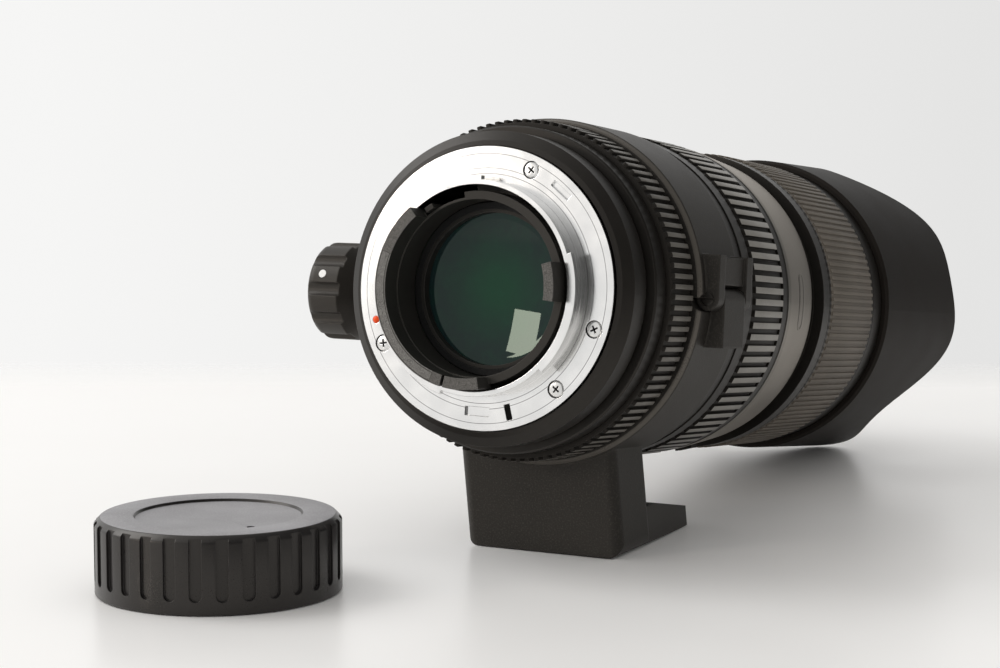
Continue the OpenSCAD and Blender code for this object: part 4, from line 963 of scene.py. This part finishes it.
@dataclass
class RibbedGrip:
    """Sleeve with straight ribs round a turning ring, each from one station on the axis to another."""

    name: str
    node: str
    body: Body
    inner_r: float
    root_r: float
    tip_r: float
    sleeve: Station
    ribs: Station
    count: int
    share: float
    rounding: float
    base_finish: Finish
    top_finish: Finish
    sink: float = 0.15
    foot_t: float = 0.02
    top_t: float = 0.04
    sleeve_rounding: float = 0.12
    smooth: float = 35.0

    def rib(self) -> Piece:
        """Makes one rib with rounded edges, its foot sunk into the sleeve.

        Returns:
            The rib.
        """
        start, end = self.ribs
        width = 2.0 * math.pi * self.tip_r / self.count * self.share
        foot = self.root_r - self.sink
        piece = block("rib", (self.tip_r - foot, width, end - start),
                      ((self.tip_r + foot) / 2, 0.0, (start + end) / 2))
        with picked(piece, "FACE", lambda _place, way: way.x < -FACING):
            bpy.ops.mesh.delete(type="FACE")
        outer = (foot + self.foot_t) * MM
        with picked(piece, "EDGE", lambda place, _way: place.x > outer):
            bpy.ops.mesh.bevel(offset=self.rounding * MM, segments=2)
        return piece

    def make(self) -> None:
        """Builds the sleeve with all its ribs, and gives the tops of the ribs their own finish, which is
        lighter as a painted highlight on the aperture and zoom rings.
        """
        sleeve = lathe("sleeve", section(self.inner_r, self.root_r, *self.sleeve), self.sleeve_rounding)
        ribs = copies(self.rib(), (clock(360.0 * i / self.count) for i in range(self.count)))
        piece = join(self.name, [sleeve, *ribs])
        coat(piece, self.base_finish, self.top_finish)
        # Rib top faces take the top finish, a painted highlight where it is lighter
        top = (self.tip_r - self.top_t) * MM
        paint_faces(piece, lambda place, _way: math.hypot(place.x, place.y) > top)
        deliver(piece, LENS, self.smooth, self.body, Slot.GRIP, self.node)


@dataclass
class MountScrews:
    """Cross-head screws of the bayonet flange, each in a dark gap of painted shade and with its cross at
    another angle.
    """

    circle_r: float = 30.9
    clocks: tuple[float, ...] = (68.5, -16.0, -48.5, 208.0)
    first_turn: float = 17.0
    turn_step: float = 31.0
    head_r: float = 2.0
    head_t: float = 1.1
    sink: float = 0.05
    bevel: Station = (0.25, 0.3)
    rounding: float = 0.12
    steps: int = 40
    cross_len: float = 2.5
    cross_w: float = 0.5
    cross_depth: float = 0.7
    cross_taper: float = 0.6
    cross_reach: float = 0.55
    cross_shade_z: Station = (0.06, 0.1)
    gap_r: float = 2.13
    gap_z: Station = (0.35, 0.9)
    gap_lap: float = 0.05
    smooth: float = 30.0

    def screw(self, turn: float) -> Piece:
        """Makes one screw head with its cross recess, head face at local z = sink.

        Args:
            turn: Degrees by which the cross is turned.

        Returns:
            The head in its gap.
        """
        inward, down = self.bevel
        head = lathe("head", [
            (0.0, self.sink), (self.head_r - inward, self.sink), (self.head_r, self.sink + down),
            (self.head_r, self.head_t), (0.0, self.head_t)], self.rounding, self.steps)
        for sides in ((self.cross_len, self.cross_w), (self.cross_w, self.cross_len)):
            arm = block("arm", (*sides, 2 * self.cross_depth), (0, 0, self.sink))
            with picked(arm, "FACE", lambda _place, way: way.z > FACING):
                bpy.ops.transform.resize(value=(self.cross_taper, self.cross_taper, 1.0))
            settle(arm, Matrix.Rotation(math.radians(turn), 4, "Z"))
            cut(head, arm)
        coat(head, STEEL, PAINTED_SHADE)
        # Faces inside the cross recess are painted dark: painted shade
        low, high = (self.sink + self.cross_shade_z[0]) * MM, (self.head_t - self.cross_shade_z[1]) * MM
        reach = self.cross_len * self.cross_reach * MM
        paint_faces(head, lambda place, _way: low < place.z < high
                    and math.hypot(place.x, place.y) < reach)
        # Dark ring in the gap round the head: painted shade
        gap = lathe("gap", section(self.head_r - self.gap_lap, self.gap_r, *self.gap_z), 0.0, self.steps)
        coat(gap, PAINTED_SHADE)
        return join("screw", [head, gap])

    def make(self) -> None:
        """Builds the screws and seats them."""
        heads = []
        for index, degrees in enumerate(self.clocks):
            head = self.screw(self.first_turn + self.turn_step * index)
            settle(head, clock(degrees) @ Matrix.Translation((self.circle_r * MM, 0, 0)))
            heads.append(head)
        piece = join("mount_screw_heads", heads)
        deliver(piece, LENS, self.smooth, Body.BARREL, Slot.STEEL, "mount_screws")


@dataclass
class SlotShade:
    """Dark filling of painted shade at the bottom of the flange's lock slot."""

    at_clock: float = 285.5
    middle_r: float = 30.45
    size: Station = (3.8, 1.55)
    depth: float = 0.12
    thick: float = 0.3
    corner: float = 0.45
    rim: float = 0.12
    dish: float = 0.08
    smooth: float = 35.0

    def make(self) -> None:
        """Builds the shade filling with round ends and a dished face."""
        piece = block("lock_slot_shade", (*self.size, self.thick),
                      (self.middle_r, 0.0, self.depth + self.thick / 2))
        with picked(piece, "EDGE", lambda _place, way: abs(way.z) > FACING):
            bpy.ops.mesh.bevel(offset=self.corner * min(self.size) * MM, segments=4)
        with picked(piece, "FACE", lambda _place, way: way.z < -FACING):
            bpy.ops.mesh.inset(thickness=self.rim * MM, depth=-self.dish * MM)
        # Near black in the slot: painted shade
        coat(piece, PAINTED_SHADE)
        deliver(piece, LENS @ clock(self.at_clock), self.smooth, Body.BARREL, Slot.GUARD)


@dataclass
class BandPlate:
    """Bare oval plate let into the satin band, with a groove inside its rim."""

    middle_clock: float = 1.0
    span: float = 15.7
    width: float = 4.2
    middle: float = 108.4
    radius: float = 42.49
    slope: float = -0.0652
    proud: float = 0.14
    thick: float = 0.6
    bar_len: float = 12.0
    bar_sides: int = 32
    face_way: float = 0.6
    insets: tuple[Station, ...] = ((0.28, 0.0), (0.10, -0.2), (0.22, 0.0), (0.10, 0.16))
    smooth: float = 25.0

    def outline(self) -> Piece:
        """Makes an oval bar that points outward at the plate's place.

        Returns:
            The bar.
        """
        oval = bar(self.width, self.bar_len, self.bar_sides)
        for side in (-1.0, 1.0):
            shift(oval, (0.0, side * (self.span - self.width) / 2, 0.0),
                  lambda place, _way: side * place.y > OFF_MIDDLE)
        settle(oval, Matrix.Translation((self.radius * MM, 0.0, self.middle * MM)))
        return oval

    def make(self) -> None:
        """Builds the plate as an oval piece of a thin ring that follows the band's slope."""
        inner = self.radius - self.thick
        rear, front = self.middle - self.width, self.middle + self.width
        rise = self.slope * self.width
        outer = self.radius + self.proud
        piece = lathe("band_plate", [
            (inner, rear), (outer - rise, rear), (outer + rise, front), (inner, front)], 0.0)
        cut(piece, self.outline(), "INTERSECT")
        face_r = (self.radius - self.thick / 2) * MM
        with picked(piece, "FACE", lambda place, way: way.x > self.face_way
                    and math.hypot(place.x, place.y) > face_r):
            for thickness, depth in self.insets:
                bpy.ops.mesh.inset(thickness=thickness * MM, depth=depth * MM)
        coat(piece, BAND)
        deliver(piece, LENS @ clock(self.middle_clock), self.smooth, Body.BARREL, Slot.BAND)


@dataclass
class RearCap:
    """Rear cap on the table, closed side up, with flat grip grooves round its side."""

    centre: Station = (-47.0, -110.0)
    radius: float = 29.0
    inner_r: float = 27.3
    height: float = 18.0
    floor_t: float = 2.6
    recess_r: float = 19.5
    recess: float = 0.8
    recess_slope: float = 0.3
    chamfer: float = 1.5
    rounding: float = 0.3
    grooves: int = 30
    groove_w: float = 2.9
    groove_depth: float = 0.75
    groove_foot: float = 3.0
    cutter_len: float = 4.0
    sides: int = 24
    mark_r: float = 1.0
    mark_len: float = 1.2
    mark_at: Station = (14.13, -7.51)
    top_reflection_drop: float = 0.35
    top_reflection_way: float = 0.85
    smooth: float = 28.0

    def groove(self) -> Piece:
        """Makes the cutter of one groove: flat bottom, round lower end, open at the top.

        Returns:
            The cutter.
        """
        piece = bar(self.groove_w, self.cutter_len, self.sides)
        shift(piece, (0.0, 0.0, self.height), lambda place, _way: place.z > OFF_MIDDLE)
        out = self.radius - self.groove_depth + self.cutter_len / 2
        settle(piece, Matrix.Translation((out * MM, 0.0, (self.groove_foot + self.groove_w / 2) * MM)))
        return piece

    def make(self) -> None:
        """Builds the cap with its grooves and mark, and dresses it; its flat top is painted light as a painted
        reflection over the sanded grain.
        """
        top, under = self.height - self.recess, self.height - self.recess - self.floor_t
        piece = lathe("rear_cap_dressed", [
            (self.inner_r, 0.0), (self.radius, 0.0), (self.radius, self.height - self.chamfer),
            (self.radius - self.chamfer, self.height), (self.recess_r + self.recess_slope, self.height),
            (self.recess_r, top), (0.0, top), (0.0, under), (self.inner_r, under)], self.rounding)
        turns = (Matrix.Rotation(2.0 * math.pi * (i + 0.5) / self.grooves, 4, "Z") for i in range(self.grooves))
        cut(piece, join("grooves", copies(self.groove(), turns)))
        clear()
        x, y = self.mark_at
        bpy.ops.mesh.primitive_cylinder_add(
            vertices=self.sides, radius=self.mark_r * MM, depth=self.mark_len * MM,
            location=(x * MM, y * MM, top * MM))
        cut(piece, bpy.context.object)
        coat(piece, CAP, CAP_TOP_REFLECTION)
        # Flat top faces take the light finish: painted reflection
        high = (self.height - self.chamfer - self.top_reflection_drop) * MM
        paint_faces(piece, lambda place, way: place.z > high and way.z > self.top_reflection_way)
        place = Matrix.Translation((self.centre[0] * MM, self.centre[1] * MM, 0.0))
        deliver(piece, place, self.smooth, Body.CAP, Slot.CAP, "rear_cap")


@dataclass
class RearGlass:
    """Rear element with its hollow, coated face toward the camera."""

    radius: float = 19.5
    land: float = 1.6
    seat: float = 6.5
    front: float = 10.1
    hollow: float = 1.6
    rings: int = 14
    steps: int = 128
    smooth: float = 25.0

    def make(self) -> None:
        """Builds and dresses the element."""
        reach = self.radius - self.land
        face = [(reach * i / self.rings, self.seat + self.hollow * (1.0 - (i / self.rings) ** 2))
                for i in range(self.rings + 1)]
        back = [(self.radius, self.seat), (self.radius, self.front), (0.0, self.front)]
        piece = lathe("rear_element_polished", [*face, *back], 0.0, self.steps)
        coat(piece, REAR_GLASS)
        deliver(piece, LENS, self.smooth, Body.BARREL, Slot.GLASS, "rear_element")


@dataclass
class HingeScrew:
    """Small slotted screw at the rear end of the collar's hinge pin."""

    hinge_x: float = 44.55
    rear: float = 33.05
    face_r: float = 1.5
    head_r: float = 1.75
    bevel: float = 0.25
    head_t: float = 0.75
    rounding: float = 0.1
    steps: int = 32
    slot: Point = (3.8, 0.45, 0.7)
    smooth: float = 30.0

    def make(self) -> None:
        """Builds and dresses the screw."""
        end = self.rear + self.head_t
        head = lathe("hinge_screw", [
            (0.0, self.rear), (self.face_r, self.rear), (self.head_r, self.rear + self.bevel),
            (self.head_r, end), (0.0, end)], self.rounding, self.steps)
        cut(head, block("slot", self.slot, (0.0, 0.0, self.rear)))
        coat(head, SHELL)
        place = LENS @ Matrix.Translation((self.hinge_x * MM, 0.0, 0.0))
        deliver(head, place, self.smooth, Body.COLLAR, Slot.STEEL)


@dataclass
class Studio:
    """Pale table, soft light, the photograph's camera, and a world whose ramps run from left to right."""

    camera_at: Point = (0.2442, -0.5299, 0.1119)
    forward: Point = (-0.4563, 0.88405, -0.10115)
    up: Point = (-0.0472, 0.0895, 0.9948)
    focal: float = 78.576
    sensor: float = 36.0
    clip: Station = (0.01, 20.0)
    table_size: float = 2.4
    table_drop: float = 0.0002
    key_at: Point = (-0.95, -0.30, 0.85)
    key_aim: Point = (0.0, 0.06, 0.04)
    key_energy: float = 6.2
    key_size: float = 0.9
    window_at: Point = (-0.571, -0.839, 0.296)
    window_aim: Point = (0.008, -0.059, 0.059)
    window_size: Station = (0.13, 0.15)
    window_energy: float = 0.85
    window_colour: Colour = (1.0, 0.90, 0.80)
    wall: Ramp = (-0.63, -0.26, 0.92, 0.78)
    wall_colour: Colour = (1.0, 0.998, 0.99)
    sky: Ramp = (-0.4, 0.8, 0.84, 0.66)
    mirrored: Ramp = (-0.15, 0.40, 0.92, 0.08)
    mirrored_way: Point = (0.999, 0.0, 0.05)
    room_colour: Colour = (1.0, 0.995, 0.985)

    def table(self) -> None:
        """Builds the table under the lens."""
        clear()
        bpy.ops.mesh.primitive_plane_add(size=self.table_size)
        table = fresh("table")
        settle(table, Matrix.Translation((0.0, 0.0, -self.table_drop)))
        coat(table, TABLE)

    def lamp(self, name: str, place: Point, aim: Point, energy: float) -> bpy.types.AreaLight:
        """Adds an area light.

        Args:
            name: Its name.
            place: Where it hangs.
            aim: The point that it faces.
            energy: Its power.

        Returns:
            The light's data.
        """
        clear()
        bpy.ops.object.light_add(type="AREA", location=place)
        lamp = bpy.context.object
        lamp.name, lamp.data.energy = name, energy
        lamp.rotation_euler = (Vector(aim) - Vector(place)).to_track_quat("-Z", "Y").to_euler()
        return lamp.data

    def light(self) -> None:
        """Adds the soft key from the left and the window that the rear glass mirrors."""
        key = self.lamp("soft_key", self.key_at, self.key_aim, self.key_energy)
        key.shape, key.size = "DISK", self.key_size
        window = self.lamp("window", self.window_at, self.window_aim, self.window_energy)
        window.shape, window.color = "RECTANGLE", self.window_colour
        window.size, window.size_y = self.window_size

    def room(self) -> None:
        """Sets the world: light that dims to the right, a pale wall, and a room with a dim side to mirror."""
        world = bpy.data.worlds.new("pale_room")
        bpy.context.scene.world = world
        world.use_nodes = True
        nodes = Nodes(world.node_tree)

        def glow(colour: Colour, value: Socket, ramp: Ramp) -> Socket:
            """Adds a background of one colour, as strong as a ramp over a value says."""
            return nodes.add("Background", (*colour, 1.0), nodes.stretch(value, *ramp)).outputs[0]

        way = nodes.add("TexCoord").outputs["Generated"]
        across = nodes.add("SeparateXYZ", way).outputs[0]
        toward = nodes.add("VectorMath", way, self.mirrored_way, operation="DOT_PRODUCT")
        path = nodes.add("LightPath").outputs
        mirrors = nodes.math("MAXIMUM", path["Is Glossy Ray"], path["Is Transmission Ray"])
        lit = glow(self.room_colour, across, self.sky)
        mirrored = glow(self.room_colour, toward.outputs["Value"], self.mirrored)
        shown = glow(self.wall_colour, across, self.wall)
        both = nodes.add("MixShader", mirrors, lit, mirrored).outputs[0]
        whole = nodes.add("MixShader", path["Is Camera Ray"], both, shown).outputs[0]
        nodes.add("OutputWorld", whole)

    def camera(self) -> None:
        """Adds the camera at the photograph's place."""
        data = bpy.data.cameras.new("camera")
        camera = bpy.data.objects.new("camera", data)
        bpy.context.scene.collection.objects.link(camera)
        ahead = Vector(self.forward).normalized()
        right = ahead.cross(Vector(self.up)).normalized()
        above = right.cross(ahead)
        turn = Matrix((right, above, -ahead)).transposed().to_4x4()
        camera.matrix_world = Matrix.Translation(self.camera_at) @ turn
        data.lens, data.sensor_width = self.focal, self.sensor
        data.clip_start, data.clip_end = self.clip
        bpy.context.scene.camera = camera

    def make(self) -> None:
        """Sets up the whole studio."""
        self.table()
        self.light()
        self.room()
        self.camera()
        bpy.context.scene.view_settings.view_transform = "Standard"


GRIPS = (
    RibbedGrip("aperture_ring_ribbed", "aperture_ring", Body.APERTURE, inner_r=39.55, root_r=41.7, tip_r=42.6,
               sleeve=(17.3, 29.4), ribs=(17.5, 29.2), count=104, share=0.52, rounding=0.28,
               base_finish=RUBBER, top_finish=RING_TEETH_HIGHLIGHT),
    RibbedGrip("zoom_grip_ribbed", "zoom_grip", Body.ZOOM, inner_r=42.23, root_r=42.7, tip_r=43.6,
               sleeve=(69.05, 91.55), ribs=(69.9, 90.9), count=88, share=0.55, rounding=0.16,
               base_finish=RUBBER, top_finish=RIB_TOPS_HIGHLIGHT),
    RibbedGrip("focus_grip_ribbed", "focus_grip", Body.FOCUS, inner_r=42.43, root_r=43.0, tip_r=43.5,
               sleeve=(133.0, 170.6), ribs=(133.4, 170.2), count=132, share=0.5, rounding=0.14,
               base_finish=FINE_RUBBER, top_finish=FINE_RUBBER),
)


def dress_solids() -> None:
    """Gives every solid of the frame its finish."""
    finishes = {name: finish for finish, names in SOLIDS for name in names.split()}
    for name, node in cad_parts.items():
        coat(node, finishes[name])


def main() -> None:
    """Builds the scene in order."""
    logging.basicConfig(level=logging.INFO, format="%(name)s %(message)s")
    dress_solids()
    trim = (MountScrews(), SlotShade(), BandPlate(), RearCap(), RearGlass(), HingeScrew())
    for part in (*GRIPS, *trim, Studio()):
        part.make()


if __name__ == "__main__":
    main()
